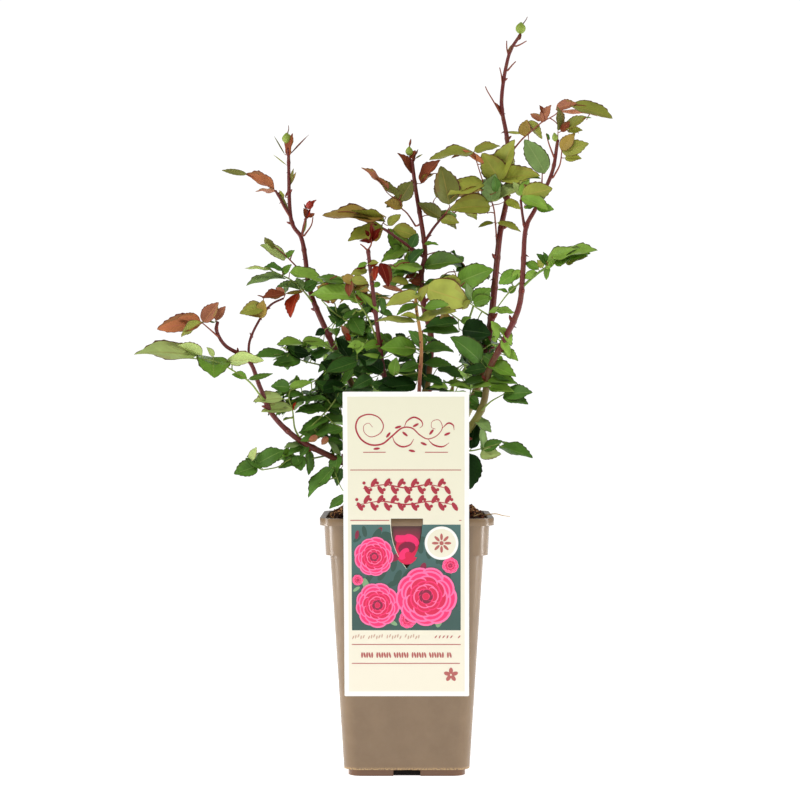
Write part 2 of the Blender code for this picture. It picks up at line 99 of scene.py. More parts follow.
def add_node(tree: NodeTree, kind: str, inputs: dict | None = None, out: int | str = 0, **settings) -> NodeSocket:
    """Adds one node with its settings and links.

    Args:
        tree: The node tree.
        kind: The node's type name, without "ShaderNode".
        inputs: Input name or number to a value, or to the socket that feeds it.
        out: The name or number of the output that is wanted.
        **settings: The node's own settings.

    Returns:
        That output.
    """
    node = tree.nodes.new("ShaderNode" + kind)
    for key, value in settings.items():
        setattr(node, key, value)
    for key, value in (inputs or {}).items():
        put(tree, node.inputs[key], value)
    return node.outputs[out]


def set_shader(tree: NodeTree, **inputs) -> None:
    """Sets or links inputs of the Principled shader. Their names have underscores for spaces."""
    for key, value in inputs.items():
        put(tree, tree.nodes["Principled BSDF"].inputs[key.replace("_", " ")], value)


def new_material(
    name: str, colour: str, roughness: float, specular: float, **inputs
) -> tuple[Material, NodeTree, NodeSocket]:
    """Starts a material with its Principled shader.

    Args:
        name: The material's name.
        colour: Its sRGB hex base colour.
        roughness: Its roughness.
        specular: Its specular level.
        **inputs: More shader inputs, with underscores for spaces.

    Returns:
        The material, its node tree and the Object coordinates.
    """
    material = bpy.data.materials.new(name)
    material.use_nodes = True
    material.diffuse_color = srgb(colour)
    tree = material.node_tree
    set_shader(tree, Base_Color=srgb(colour), Roughness=roughness, Specular_IOR_Level=specular, **inputs)
    return material, tree, add_node(tree, "TexCoord", out="Object")


class Tone(Enum):
    """The colours of the leaves: letter, blade, paler midrib, dark margin, and the flush that some halves have."""

    LIME = ("L", "#9ea546", "#a79e49", "#60421d", "#9b9842")
    YELLOW_GREEN = ("Y", "#969b3c", "#a29842", "#5d3f1a", "#948f3a")
    BRIGHT_GREEN = ("K", "#7da03b", "#87a14a", "#49501c", "#7b9939")
    GREEN = ("G", "#628828", "#79953e", "#424a16", "#648528")
    MID_GREEN = ("M", "#486e23", "#66833b", "#373f14", "#4c6e24")
    # FOREST_GREEN and DARK_GREEN are partly the leaves' own deep green and partly painted shade: near black-green, for
    # the dense core and low leaves where the crown shades itself.
    FOREST_GREEN = ("F", "#2e5217", "#546f32", "#2d340f", "#355419")
    DARK_GREEN = ("D", "#15300b", "#2c4519", "#182308", "#17320c")
    BLUE_GREEN = ("T", "#728c4e", "#84985a", "#484b25", "#73894b")
    GREY_GREEN = ("Q", "#a2b468", "#9a9b57", "#5a4124", "#9ba15d")
    OLIVE_GREEN = ("V", "#838732", "#968b3c", "#583917", "#847e31")
    OLIVE = ("O", "#64662a", "#817537", "#4e2f15", "#6e5e2b")
    WILLOW = ("W", "#4f6f20", "#6b8339", "#3a4013", "#536e21")
    BRONZE = ("B", "#937a34", "#987c41", "#58321a", "#8c6933")
    RED_BROWN = ("N", "#74381f", "#8d5134", "#511e11", "#6d4622")
    COPPER = ("C", "#9a6044", "#b47a4a", "#67351e", "#8f6b3a")
    SALMON = ("S", "#b06a40", "#b2664b", "#662a1e", "#936139")
    RED = ("R", "#86240c", "#9e482f", "#5b190e", "#7c3b19")
    DEEP_RED = ("P", "#5c1004", "#893a28", "#4f110a", "#632d13")


class Skin(IntEnum):
    """The parts of a leaflet that have a skin of their own, in the order of a tone's materials."""

    BLADE = 0
    MIDRIB = 1
    MARGIN = 2
    FLUSH = 3


@dataclass(frozen=True)
class LeafFinish:
    """Living leaf skin: a waxy blade with sunk side veins, which gives a soft satin sheen, duller on dark tones.

    The vein spacing comes from about nine side veins on each half of a 35 mm leaflet.
    """

    tone: Tone
    vein_pairs: float = 9.0
    vein_slope: float = 0.42
    vein_depth_mm: float = 0.3
    roughness: float = 0.5
    blotch_mm: float = 16.0
    dull_tones: str = "DPRN"

    def make(self) -> list[Material]:
        """Makes the leaf's materials.

        Returns:
            Those of the blade, the midrib, the margin and the flush.
        """
        letter, blade, *others = self.tone.value
        name = self.tone.name.lower()
        gloss = 0.1 if letter in self.dull_tones else 0.22
        material, tree, place = new_material(f"leaf_blade_{name}", blade, self.roughness, gloss)
        blotch = add_node(tree, "TexNoise", {"Vector": place, "Scale": 1 / (self.blotch_mm * MM), "Detail": 3.0})
        limits = {"From Min": 0.3, "From Max": 0.7, "To Min": 0.84, "To Max": 1.16}
        level = add_node(tree, "MapRange", {"Value": blotch, **limits})
        shade = add_node(tree, "HueSaturation", {"Color": srgb(blade), "Value": level})
        across = add_node(tree, "SeparateXYZ", {0: add_node(tree, "UVMap", uv_map="leaf")}, "Y")
        half = add_node(tree, "Math", {0: across, 1: 0.5}, operation="SUBTRACT")
        off = add_node(tree, "Math", {0: half}, operation="ABSOLUTE")
        slope = {0: off, 1: -2 * self.vein_slope, 2: across.node.outputs["X"]}
        lag = add_node(tree, "Math", slope, operation="MULTIPLY_ADD")
        turn = add_node(tree, "Math", {0: lag, 1: 2 * pi * self.vein_pairs}, operation="MULTIPLY")
        wave = add_node(tree, "Math", {0: turn}, operation="SINE")
        quilt = add_node(tree, "Bump", {"Height": wave, "Strength": 0.2, "Distance": self.vein_depth_mm * MM})
        set_shader(tree, Base_Color=shade, Normal=quilt)
        parts = zip(("midrib", "margin", "flush"), others)
        return [material] + [new_material(f"leaf_{part}_{name}", hue, self.roughness, 0.2)[0] for part, hue in parts]


@dataclass(frozen=True)
class BarkFinish:
    """Young rose bark, green at first and flushed red by the sun, with fine pale pores and a waxy gleam.

    The pores are about 0.9 mm apart and the flush comes in streaks of about 6 mm.
    """

    name: str
    low: str
    high: str
    low_z: float = 0.0
    high_z: float = 1.0
    roughness: float = 0.42
    pore: str = "#a57d62"
    pore_mm: float = 0.9
    streak_mm: float = 6.0

    def make(self) -> Material:
        """Makes the material, greener below and redder above.

        Returns:
            The material.
        """
        material, tree, place = new_material(self.name, self.high, self.roughness, 0.3)
        z = add_node(tree, "SeparateXYZ", {0: place}, "Z")
        grain = {"Vector": place, "Scale": 1 / (self.streak_mm * MM), "Detail": 4.0, "Roughness": 0.6}
        streak = add_node(tree, "TexNoise", grain)
        height = add_node(tree, "MapRange", {"Value": z, "From Min": self.low_z * MM, "From Max": self.high_z * MM})
        flush = add_node(tree, "Math", {0: streak, 1: 0.5}, operation="SUBTRACT")
        share = add_node(tree, "Math", {0: flush, 1: 0.9, 2: height}, operation="MULTIPLY_ADD", use_clamp=True)
        ends = {SHARE: share, FIRST: srgb(self.low), SECOND: srgb(self.high)}
        skin = add_node(tree, "Mix", ends, MIXED, data_type="RGBA")
        pores = add_node(tree, "TexNoise", {"Vector": place, "Scale": 1 / (self.pore_mm * MM), "Detail": 2.0})
        spots = add_node(tree, "MapRange", {"Value": pores, "From Min": 0.62, "From Max": 0.75, "To Max": 0.14})
        ends = {SHARE: spots, FIRST: skin, SECOND: srgb(self.pore)}
        rough = add_node(tree, "Bump", {"Height": pores, "Strength": 0.4, "Distance": 0.25 * MM})
        set_shader(tree, Base_Color=add_node(tree, "Mix", ends, MIXED, data_type="RGBA"), Normal=rough)
        return material


@dataclass(frozen=True)
class PlasticFinish:
    """Recycled polypropylene, blown thin into a nursery pot: satin, faintly rippled, dusty in its pores.

    The dust lies in blots of about 25 mm. Soil of 1.6 mm grains clings to the ledge, and the foot below it is darker.
    """

    name: str = "moulded_polypropylene_taupe"
    colour: str = "#705a41"
    dusty: str = "#80694f"
    grit: str = "#a98a5c"
    foot_darker: str = "#64432a"
    roughness: float = 0.24

    def make(self) -> Material:
        """Makes the material.

        Returns:
            The material.
        """
        material, tree, place = new_material(self.name, self.colour, self.roughness, 0.5)
        z = add_node(tree, "SeparateXYZ", {0: place}, "Z")
        grain = {"Vector": place, "Scale": 1 / (25 * MM), "Detail": 5.0, "Roughness": 0.62}
        cloud = add_node(tree, "TexNoise", grain)
        grain = {"Vector": place, "Scale": 1 / (1.6 * MM), "Detail": 3.0, "Roughness": 0.7}
        speck = add_node(tree, "TexNoise", grain)
        haze = add_node(tree, "MapRange", {"Value": cloud, "From Min": 0.35, "From Max": 0.75, "To Max": 0.55})
        foot, ledge, above = (
            add_node(tree, "MapRange", {"Value": z, "From Min": start * MM, "From Max": end * MM})
            for start, end in ((7.2, 5.8), (10, 7.6), (6.2, 6.8))
        )
        crumbs = add_node(tree, "MapRange", {"Value": speck, "From Min": 0.40, "From Max": 0.56})
        band = add_node(tree, "Math", {0: ledge, 1: above}, operation="MULTIPLY")
        soil = add_node(tree, "Math", {0: band, 1: crumbs}, operation="MULTIPLY")
        skin = srgb(self.colour)
        # the foot below the ledge, under about 6 mm, is darker
        for share, colour in ((haze, self.dusty), (foot, self.foot_darker), (soil, self.grit)):
            ends = {SHARE: share, FIRST: skin, SECOND: srgb(colour)}
            skin = add_node(tree, "Mix", ends, MIXED, data_type="RGBA")
        span = {"To Min": self.roughness - 0.04, "To Max": self.roughness + 0.06}
        sheen = add_node(tree, "MapRange", {"Value": cloud, **span})
        ripple = add_node(tree, "TexNoise", {"Vector": place, "Scale": 1 / (14 * MM), "Detail": 1.0})
        wavy = add_node(tree, "Bump", {"Height": ripple, "Strength": 0.25, "Distance": 1.2 * MM})
        fine = add_node(tree, "Bump", {"Height": speck, "Normal": wavy, "Strength": 0.1, "Distance": 0.2 * MM})
        set_shader(tree, Base_Color=skin, Roughness=sheen, Normal=fine)
        return material


@dataclass(frozen=True)
class GrainFinish:
    """A dry, fibrous or crumbly stuff, such as composted bark or raw wood, matt all over.

    The grain's size in mm is that of its fibres or crumbs.
    """

    name: str
    dark: str
    light: str
    grain_mm: float
    roughness: float = 0.85
    depth_mm: float = 0.5

    def make(self) -> Material:
        """Makes the material.

        Returns:
            The material.
        """
        material, tree, place = new_material(self.name, self.dark, self.roughness, 0.25)
        crumbs = {"Vector": place, "Scale": 1 / (self.grain_mm * MM), "Detail": 6.0, "Roughness": 0.7}
        grain = add_node(tree, "TexNoise", crumbs)
        spread = add_node(tree, "MapRange", {"Value": grain, "From Min": 0.35, "From Max": 0.68})
        ends = {SHARE: spread, FIRST: srgb(self.dark), SECOND: srgb(self.light)}
        bump = add_node(tree, "Bump", {"Height": grain, "Strength": 0.8, "Distance": self.depth_mm * MM})
        set_shader(tree, Base_Color=add_node(tree, "Mix", ends, MIXED, data_type="RGBA"), Normal=bump)
        return material


@dataclass(frozen=True)
class CardFinish:
    """Offset print on coated polypropylene sheet: a soft gloss, a faint orange peel of 3 mm, and a colour that fades to
    its shade between two heights, which is a print fade on the teal ink and painted shade on the cream panel and the
    tongue.
    """

    name: str
    colour: str
    shade: str = ""
    roughness: float = 0.34
    shade_from: float = 0.0
    shade_to: float = 1.0

    def make(self) -> Material:
        """Makes the material, fading to its shade from one height to another: painted shade on the cream panel and the
        tongue, a print fade on the teal ink.

        Returns:
            The material.
        """
        material, tree, place = new_material(self.name, self.colour, self.roughness, 0.35)
        z = add_node(tree, "SeparateXYZ", {0: place}, "Z")
        heights = {"From Min": self.shade_from * MM, "From Max": self.shade_to * MM}
        fade = add_node(tree, "MapRange", {"Value": z, **heights})
        # the fade to self.shade is painted shade on the cream panel and the tongue, and print on the teal ink
        ends = {SHARE: fade, FIRST: srgb(self.colour), SECOND: srgb(self.shade or self.colour)}
        peel = add_node(tree, "TexNoise", {"Vector": place, "Scale": 1 / (3 * MM), "Detail": 2.0})
        skin = add_node(tree, "Bump", {"Height": peel, "Strength": 0.05, "Distance": 0.1 * MM})
        set_shader(tree, Base_Color=add_node(tree, "Mix", ends, MIXED, data_type="RGBA"), Normal=skin)
        return material


class Bark(Enum):
    """The skins of the canes, stalks and buds. A cane is green at its foot and turns in the light."""

    RIPENING = BarkFinish("rose_bark_ripening", "#6d6a2c", "#5c1b18", 370, 440)
    RED = BarkFinish("rose_bark_red", "#4e2c18", "#581a17", 280, 360)
    TAN = BarkFinish("rose_bark_tan", "#6b2b20", "#a5783f", 400, 470)
    GREEN = BarkFinish("rose_bark_green", "#6d7030", "#5f7a2c", 280, 480)
    THORN = BarkFinish("thorn_horn", "#5a1e17", "#5a1e17")
    EYE = BarkFinish("dormant_eye_scale", "#6e2a20", "#6e2a20")
    STALK_GREEN = BarkFinish("leaf_stalk_green", "#78873a", "#788a3c")
    STALK_RED = BarkFinish("leaf_stalk_red", "#7c3c28", "#7c3c28")
    BUD_GREEN = BarkFinish("bud_skin_green", "#7f9238", "#7f9238")
    BUD_RED = BarkFinish("bud_skin_red", "#93291a", "#93291a")
    STYLE = BarkFinish("dry_style", "#5a2a1a", "#5a2a1a")
    UNION = BarkFinish("corky_union_bark", "#4a3423", "#5a4632", 280, 300, 0.7)


class Grain(Enum):
    """What the compost is made of, and last a near-black fill for the foot's notches, which is painted shadow."""

    HUMUS = GrainFinish("damp_humus", "#20110a", "#422517", 1.6, 0.92, 1.0)
    BARK_DARK = GrainFinish("composted_bark_dark", "#2e1b11", "#4c2f1d", 2.2)
    BARK_RED = GrainFinish("composted_bark_red", "#4c2414", "#7a4226", 2.2)
    BARK_TAN = GrainFinish("composted_bark_tan", "#8a5f38", "#c4925f", 2.0)
    SPLINTER = GrainFinish("raw_wood_splinter", "#b08a55", "#d0b07c", 1.2, 0.75)
    # A near-black fill put in the foot's notches: painted shadow.
    WET = GrainFinish("wet_humus", "#050302", "#140a06", 1.6, 0.9, 1.0)


class Ink(Enum):
    """The label's card and the inks on it."""

    WHITE = CardFinish("coated_sheet_white", "#e6e5e0")
    # The cream panel darkens towards its top, under the crown: painted shade.
    CREAM = CardFinish("coated_sheet_cream", "#dfd9c6", "#d6d3bb", 0.36, 110, 390)
    # The tongue fades to grey-brown at its top, just under the flange: painted shade.
    TONGUE = CardFinish("coated_sheet_printed_wine", "#8c2440", "#4a3a34", 0.36, 246, 262)
    MAROON = CardFinish("offset_ink_maroon", "#7c1838")
    WINE = CardFinish("offset_ink_wine", "#9c2234")
    RUST = CardFinish("offset_ink_rust", "#a85a55")
    PALE_RUST = CardFinish("offset_ink_pale_rust", "#bf9f8c")
    TEAL = CardFinish("offset_ink_teal", "#33504a", "#426460", 0.34, 160, 260)
    LEAF = CardFinish("offset_ink_leaf", "#2c4a40")
    PALE_LEAF = CardFinish("offset_ink_pale_leaf", "#7aa074")
    ROSE_DEEP = CardFinish("offset_ink_rose_deep", "#cc1a48")
    ROSE = CardFinish("offset_ink_rose", "#e62a68")
    PINK = CardFinish("offset_ink_pink", "#f26c9e")


def make_all(choices: type[Enum]) -> dict[Enum, Material]:
    """Makes the material of every finish in a list of named ones."""
    return {choice: choice.value.make() for choice in choices}


# ---- making pieces


def add_object(name: str, data: ID) -> Object:
    """Puts a mesh, lamp or camera into the scene.

    Args:
        name: The object's name.
        data: The mesh, lamp or camera.

    Returns:
        The object.
    """
    made = bpy.data.objects.new(name, data)
    bpy.context.scene.collection.objects.link(made)
    return made


def to_mesh(name: str, bm: BMesh) -> Mesh:
    """Turns a shape into a mesh and frees it.

    Args:
        name: The mesh's name.
        bm: The shape.

    Returns:
        The mesh.
    """
    mesh = bpy.data.meshes.new(name)
    bm.to_mesh(mesh)
    bm.free()
    return mesh


def merge(into: BMesh, part: BMesh) -> None:
    """Adds one shape to a larger one and frees it."""
    mesh = to_mesh("part", part)
    into.from_mesh(mesh)
    bpy.data.meshes.remove(mesh)


def extrude(bm: BMesh, edges: Sequence[BMEdge]) -> tuple[list[BMEdge], list[BMVert]]:
    """Draws edges out where they stand, and returns the new edges and their corners."""
    made = bmesh.ops.extrude_edge_only(bm, edges=edges)["geom"]
    return [item for item in made if isinstance(item, BMEdge)], [item for item in made if isinstance(item, BMVert)]


def close(bm: BMesh, edges: Sequence[BMEdge] = (), number: int | None = None) -> None:
    """Fills a loop of edges, turns all faces outwards, and gives them a material number.

    Args:
        bm: The shape.
        edges: The loop to fill, if any.
        number: The faces' material number, if they get one.
    """
    if edges:
        bmesh.ops.edgeloop_fill(bm, edges=edges)
    bmesh.ops.recalc_face_normals(bm, faces=bm.faces)
    if number is not None:
        for face in bm.faces:
            face.material_index = number


def to_metres(bm: BMesh) -> BMesh:
    """Scales a shape from millimetres to metres and returns it."""
    bmesh.ops.scale(bm, vec=(MM, MM, MM), verts=bm.verts)
    return bm


def finish_piece(
    name: str, bm: BMesh, materials: Sequence[Material], nodes: Iterable[str] = (), flat: bool = False
) -> Object:
    """Makes the finished piece from a shape in millimetres, and tells the frame what it is.

    Args:
        name: The piece's name.
        bm: Its shape in millimetres, freed afterwards.
        materials: Its materials, in the order of the faces' numbers.
        nodes: The CAD nodes that it stands for.
        flat: Whether its faces stay flat.

    Returns:
        The object.
    """
    for face in bm.faces:
        face.smooth = not flat
    mesh = to_mesh(name, to_metres(bm))
    for material in materials:
        mesh.materials.append(material)
    piece = add_object(name, mesh)
    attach(piece, ROOT)
    if nodes:
        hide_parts(*nodes)
    LOG.info("%s: %d faces", name, len(mesh.polygons))
    return piece


def settle(piece: Object) -> None:
    """Applies a piece's modifiers to its mesh.

    Args:
        piece: The piece.
    """
    graph = bpy.context.evaluated_depsgraph_get()
    old = piece.data
    mesh = bpy.data.meshes.new_from_object(piece.evaluated_get(graph))
    piece.modifiers.clear()
    piece.data = mesh
    bpy.data.meshes.remove(old)
    mesh.name = piece.name


def carve(piece: Object, shape: BMesh) -> None:
    """Cuts a shape, in metres, from a piece and frees it.

    Args:
        piece: The piece.
        shape: The shape to cut away.
    """
    cutter = add_object("cutter", to_mesh("cutter", shape))
    bite = piece.modifiers.new("cut", "BOOLEAN")
    bite.operation = "DIFFERENCE"
    bite.solver = "EXACT"
    bite.use_self = True
    bite.object = cutter
    settle(piece)
    bpy.data.meshes.remove(cutter.data)


def carve_shape(part: BMesh, shape: BMesh) -> BMesh:
    """Cuts one shape from another.

    Args:
        part: The shape to cut, which has a single material number.
        shape: The shape to cut away.

    Returns:
        What is left.
    """
    number = next(iter(part.faces)).material_index
    blank = add_object("blank", to_mesh("blank", part))
    carve(blank, shape)
    left = bmesh.new()
    left.from_mesh(blank.data)
    for face in left.faces:
        face.material_index = number
    bpy.data.meshes.remove(blank.data)
    return left


def frames_along(route: Sequence[Vector]) -> list[Matrix]:
    """Carries a frame along a route without twist, Z ahead.

    Args:
        route: The points.

    Returns:
        One matrix for each point.
    """
    frames = []
    side = Vector((0, 0, 0))
    for i, point in enumerate(route):
        ahead = (route[min(i + 1, len(route) - 1)] - route[max(i - 1, 0)]).normalized()
        if not side.length:
            side = ahead.orthogonal()
        side = (side - side.dot(ahead) * ahead).normalized()
        frame = Matrix((side, ahead.cross(side), ahead)).transposed().to_4x4()
        frame.translation = point
        frames.append(frame)
    return frames


def sweep(route: Sequence[Vector], radii: Sequence[float], sides: int, number: int = 0) -> BMesh:
    """Draws a circle out along a route, as a closed tapering tube.

    Args:
        route: The points of its middle line, in millimetres.
        radii: Its radius at each point.
        sides: How many sides it has.
        number: The faces' material number.

    Returns:
        The shape.
    """
    thinnest = 0.03
    bm = bmesh.new()
    frames = [frame @ Matrix.Scale(max(radius, thinnest), 4) for frame, radius in zip(frames_along(route), radii)]
    bmesh.ops.create_circle(bm, cap_ends=True, segments=sides, radius=1.0, matrix=frames[0])
    bmesh.ops.reverse_faces(bm, faces=bm.faces)
    edges = bm.edges[:]
    for before, frame in zip(frames, frames[1:]):
        edges, ring = extrude(bm, edges)
        bmesh.ops.transform(bm, matrix=frame @ before.inverted(), verts=ring)
    close(bm, edges, number)
    return bm


def smooth_route(bends: Sequence[Sequence[float]], step: float) -> list[Vector]:
    """Reads a Catmull-Rom curve through the bends.

    Args:
        bends: The points that it passes through, in millimetres.
        step: The longest gap between two points read.

    Returns:
        The points.
    """
    points = [Vector(bend) for bend in bends]
    ends = [2 * points[0] - points[1], *points, 2 * points[-1] - points[-2]]
    route = [points[0]]
    for i in range(1, len(ends) - 2):
        before, here, there, after = ends[i - 1 : i + 3]
        steps = max(1, ceil((there - here).length / step))
        slope = there - before
        bow = 2 * before - 5 * here + 4 * there - after
        kink = 3 * here - before - 3 * there + after
        for t in ((k + 1) / steps for k in range(steps)):
            route.append(0.5 * (2 * here + slope * t + bow * t * t + kink * t**3))
    return route


def taper(route: Sequence[Vector], foot: float, tip: float) -> list[float]:
    """Lets a radius fall evenly along a route.

    Args:
        route: The points.
        foot: The first radius.
        tip: The last radius.

    Returns:
        One radius for each point.
    """
    runs = [0.0]
    for first, second in zip(route, route[1:]):
        runs.append(runs[-1] + (second - first).length)
    return [foot + (tip - foot) * run / runs[-1] for run in runs]


# ---- the wood


@dataclass(frozen=True)
class Limb:
    """A cane or side shoot: its CAD node, its radius at foot and tip, its bark and its bends."""

    name: str
    foot: float
    tip: float
    bark: Bark
    bends: tuple[Triple, ...]


LIMBS = (
    Limb("cane_tall_left", 4.4, 1.7, Bark.RIPENING, (
        (-7,4,292), (-33,16,347), (-56,28,400), (-89,45,469), (-105,56,509), (-111,64,548), (-115.5,68,568),
        (-127,72,591), (-130,83,667),
    )),
    Limb("cane_low_left", 3.9, 1.7, Bark.RED, (
        (-9,-3,290), (-39,-15,311), (-79,-30,330), (-114,-43,349), (-140,-55,375), (-152,-64,403), (-163,-72,430),
        (-186,-80,445), (-195,-84,460), (-194,-86,470),
    )),
    Limb("cane_red_left", 2.8, 2.0, Bark.RED, (
        (-4,-6,294), (-13,-14,347), (-25,-30,424), (-31,-45,468), (-36,-62,510), (-40,-76,544),
    )),
    Limb("cane_centre", 4.6, 2.0, Bark.RIPENING, (
        (2,4,294), (14,12,358), (24,22,422), (26,30,460), (19,38,489), (16,48,525), (20,55,554), (10,70,621),
        (6,76,653),
    )),
    Limb("cane_front_thin", 2.6, 1.6, Bark.TAN, (
        (5,-9,290), (12,-32,342), (13,-50,401), (15,-62,447), (10,-70,482), (9,-77,497),
    )),
    Limb("cane_tall_right", 5.0, 1.7, Bark.RIPENING, (
        (8,2,292), (49,14,347), (77,28,406), (91,44,473), (97,56,526), (102.5,66,573), (112,76,623), (111,84,675),
        (105,90,719), (113,94,770), (126,96,794),
    )),
    Limb("cane_arched_right", 4.6, 1.7, Bark.RIPENING, (
        (7,-4,290), (40,-14,328), (77,-28,377), (86,-40,420), (99,-47,447), (116,-58,485), (120,-67,524),
        (122.3,-74,565), (132.5,-77,587), (149,-80,623), (155,-82,657),
    )),
    Limb("cane_back_left", 3.0, 1.4, Bark.GREEN, ((-5,7,291), (-16,35,325), (-29,70,357), (-43,140,421))),
    Limb("cane_back_right", 3.0, 1.4, Bark.GREEN, ((4,8,291), (20,38,325), (37,72,357), (58,145,426))),
    Limb("shoot_left_outer", 1.6, 1.3, Bark.RED, ((-127,72,590), (-137,66,608), (-143,60,618))),
    Limb("shoot_left_inner", 1.6, 1.3, Bark.RED, ((-115,68,567), (-111,64,584), (-107,61,596))),
    Limb("shoot_left_bowed", 1.4, 1.1, Bark.RED, (
        (-163,-72,429), (-162.3,-70,450), (-152.6,-66,472), (-141,-62,488), (-128,-58,495),
    )),
    Limb("shoot_centre_left", 1.9, 1.4, Bark.RED, ((19,53,545), (-6,42,562), (-21,33,572), (-34,26,578))),
    Limb("shoot_centre_right", 1.6, 1.3, Bark.RED, ((19,56,560), (29,50,576), (42,44,591))),
    Limb("shoot_right_side", 1.5, 1.2, Bark.GREEN, ((117,-62,504), (132,-70,518), (145,-76,527))),
    Limb("shoot_right_inner", 1.6, 1.3, Bark.RED, ((123,-74,560), (120,-66,578), (118,-60,597))),
)

THORNS = (
    (-104, 56, 535, -1), (119, -66, 539, 1), (113, -58, 462, 1), (95, 58, 572, -1), (96, 55, 549, -1),
    (101, 54, 530, 1), (91, 50, 522, -1), (105, 88, 683, -1),
)
"""Where the boldest thorns stand: X, Y, Z and the side that they point to."""


class Wood:
    """Canes, side shoots and leaf stalks. It remembers where wood is, so that the next twig can spring from it."""

    cane_sides = 14
    cane_step = 2.6
    stalk_sides = 6
    joint_gap = 34.0
    joint_reach = 1.3
    joint_swell = 0.2
    eye_turn = 2.4
    thorn_chance = 0.75
    thorn_width = (0.8, 1.15)
    thorn_length = (2.6, 4.2)
    cane_relief = (0.10, 0.07)
    bold_thorn = (1.4, 5.6)
    thorn_shape = ((0, 1.35), (0.25, 1), (0.55, 0.5), (0.8, 0.22), (1, 0))
    eye_shape = ((0, 0.9), (0.3, 1), (0.65, 0.75), (0.9, 0.35), (1, 0))

    def __init__(self) -> None:
        """Starts with no wood."""
        self.points: list[Vector] = []
        self.tree: KDTree | None = None
        self.chance = random.Random(11)
        self.thorns = bmesh.new()
        self.eyes = bmesh.new()
        self.stalks = {"green": bmesh.new(), "red": bmesh.new()}

    def remember(self, route: Iterable[Vector]) -> None:
        """Notes the points of a new piece of wood."""
        self.points.extend(route)
        self.tree = None

    def nearest(self, point: Vector) -> tuple[Vector, float]:
        """Looks for the nearest wood.

        Args:
            point: The place to look from.

        Returns:
            The nearest point of wood and how far it is.
        """
        if self.tree is None:
            self.tree = KDTree(len(self.points))
            for i, place in enumerate(self.points):
                self.tree.insert(place, i)
            self.tree.balance()
        place, _, gap = self.tree.find(point)
        return place, gap

    def build_limbs(self, barks: dict[Bark, Material]) -> None:
        """Builds every cane and side shoot with its joints, thorns and dormant eyes.

        Args:
            barks: The bark materials.
        """
        for limb in LIMBS:
            self.build_limb(limb, barks[limb.bark])
        for x, y, z, side in THORNS:
            foot, _ = self.nearest(Vector((x, y, z)))
            self.add_thorn(foot, Vector((side, -0.25, 0)), *self.bold_thorn)
        finish_piece("thorns", self.thorns, [barks[Bark.THORN]])
        finish_piece("dormant_eyes", self.eyes, [barks[Bark.EYE]])

    def build_limb(self, limb: Limb, bark: Material) -> None:
        """Builds one limb: swollen at its joints, uneven all over, with a thorn or an eye here and there.

        Args:
            limb: The cane or shoot.
            bark: Its material.
        """
        rand = self.chance
        route = smooth_route(limb.bends, self.cane_step)
        radii = taper(route, limb.foot, limb.tip)
        self.remember(route)
        shift = rand.uniform(5, self.joint_gap)
        run = 0.0
        joints = []
        for i, point in enumerate(route):
            run += (point - route[i - 1]).length if i else 0.0
            off = (run - shift) % self.joint_gap
            off = min(off, self.joint_gap - off)
            radii[i] *= 1 + self.joint_swell * exp(-((off / 2.0) ** 2))
            if off < self.joint_reach and run > 6:
                joints.append(i)
        bm = sweep(route, radii, self.cane_sides)
        bm.normal_update()
        coarse, fine = self.cane_relief
        for vert in bm.verts:
            x, y, z = vert.co
            relief = noise.noise(vert.co / 2.2) * coarse + noise.noise(Vector((x, y, z / 4)) / 1.1) * fine
            vert.co += vert.normal * relief
        finish_piece(f"bark_{limb.name}", bm, [bark], [limb.name])
        for number, i in enumerate(joints):
            ahead = (route[min(i + 1, len(route) - 1)] - route[i - 1]).normalized()
            turn = number * self.eye_turn + rand.uniform(-0.4, 0.4)
            around = ahead.orthogonal().normalized()
            around.rotate(Matrix.Rotation(turn, 3, ahead))
            self.add_eye(route[i] + around * radii[i] * 0.8, around + ahead * 0.9, radii[i] * 0.5)
            if rand.random() < self.thorn_chance:
                around.rotate(Matrix.Rotation(rand.uniform(1.2, 4.6), 3, ahead))
                where = route[max(i - rand.randint(2, 6), 0)]
                self.add_thorn(where, around, rand.uniform(*self.thorn_width), rand.uniform(*self.thorn_length))

    def add_thorn(self, foot: Vector, out: Vector, width: float, length: float) -> None:
        """Adds a thorn with a broad foot and a tip that bends down.

        Args:
            foot: Where it stands.
            out: The way that it points.
            width: Its radius near the foot.
            length: Its length.
        """
        out = out.normalized()
        start = foot + out * 0.6
        down = Vector((0, 0, -1))
        route = [start + out * length * t + down * length * 0.42 * t * t for t, _ in self.thorn_shape]
        merge(self.thorns, sweep(route, [max(width * share, 0.06) for _, share in self.thorn_shape], 8))

    def add_eye(self, foot: Vector, out: Vector, size: float) -> None:
        """Adds a dormant bud above a leaf scar.

        Args:
            foot: Where it stands.
            out: The way that it points.
            size: Its radius.
        """
        out = out.normalized()
        route = [foot + out * size * 3.4 * t for t, _ in self.eye_shape]
        merge(self.eyes, sweep(route, [max(size * share, 0.05) for _, share in self.eye_shape], 7))

    def add_stalk(self, bends: Sequence[Sequence[float]], foot: float, tip: float, colour: str) -> None:
        """Adds a leaf stalk or twig through the bends, and notes where it is.

        Args:
            bends: The points that it passes through.
            foot: Its radius at the first.
            tip: Its radius at the last.
            colour: "green" or "red".
        """
        route = smooth_route(bends, 4.0)
        merge(self.stalks[colour], sweep(route, taper(route, foot, tip), self.stalk_sides))
        self.remember(smooth_route(bends, 2.0))

    def spring(self, point: Vector, foot: float, tip: float, colour: str) -> None:
        """Joins a point to the nearest wood by a short curved stalk.

        Args:
            point: Where the stalk has to reach.
            foot: Its radius where it springs.
            tip: Its radius at the point.
            colour: "green" or "red".
        """
        start, gap = self.nearest(point)
        if gap > 0.9:
            sag = Vector((0, 0, -0.08 * gap))
            self.add_stalk((start, (start + point) / 2 + sag, point), foot, tip, colour)

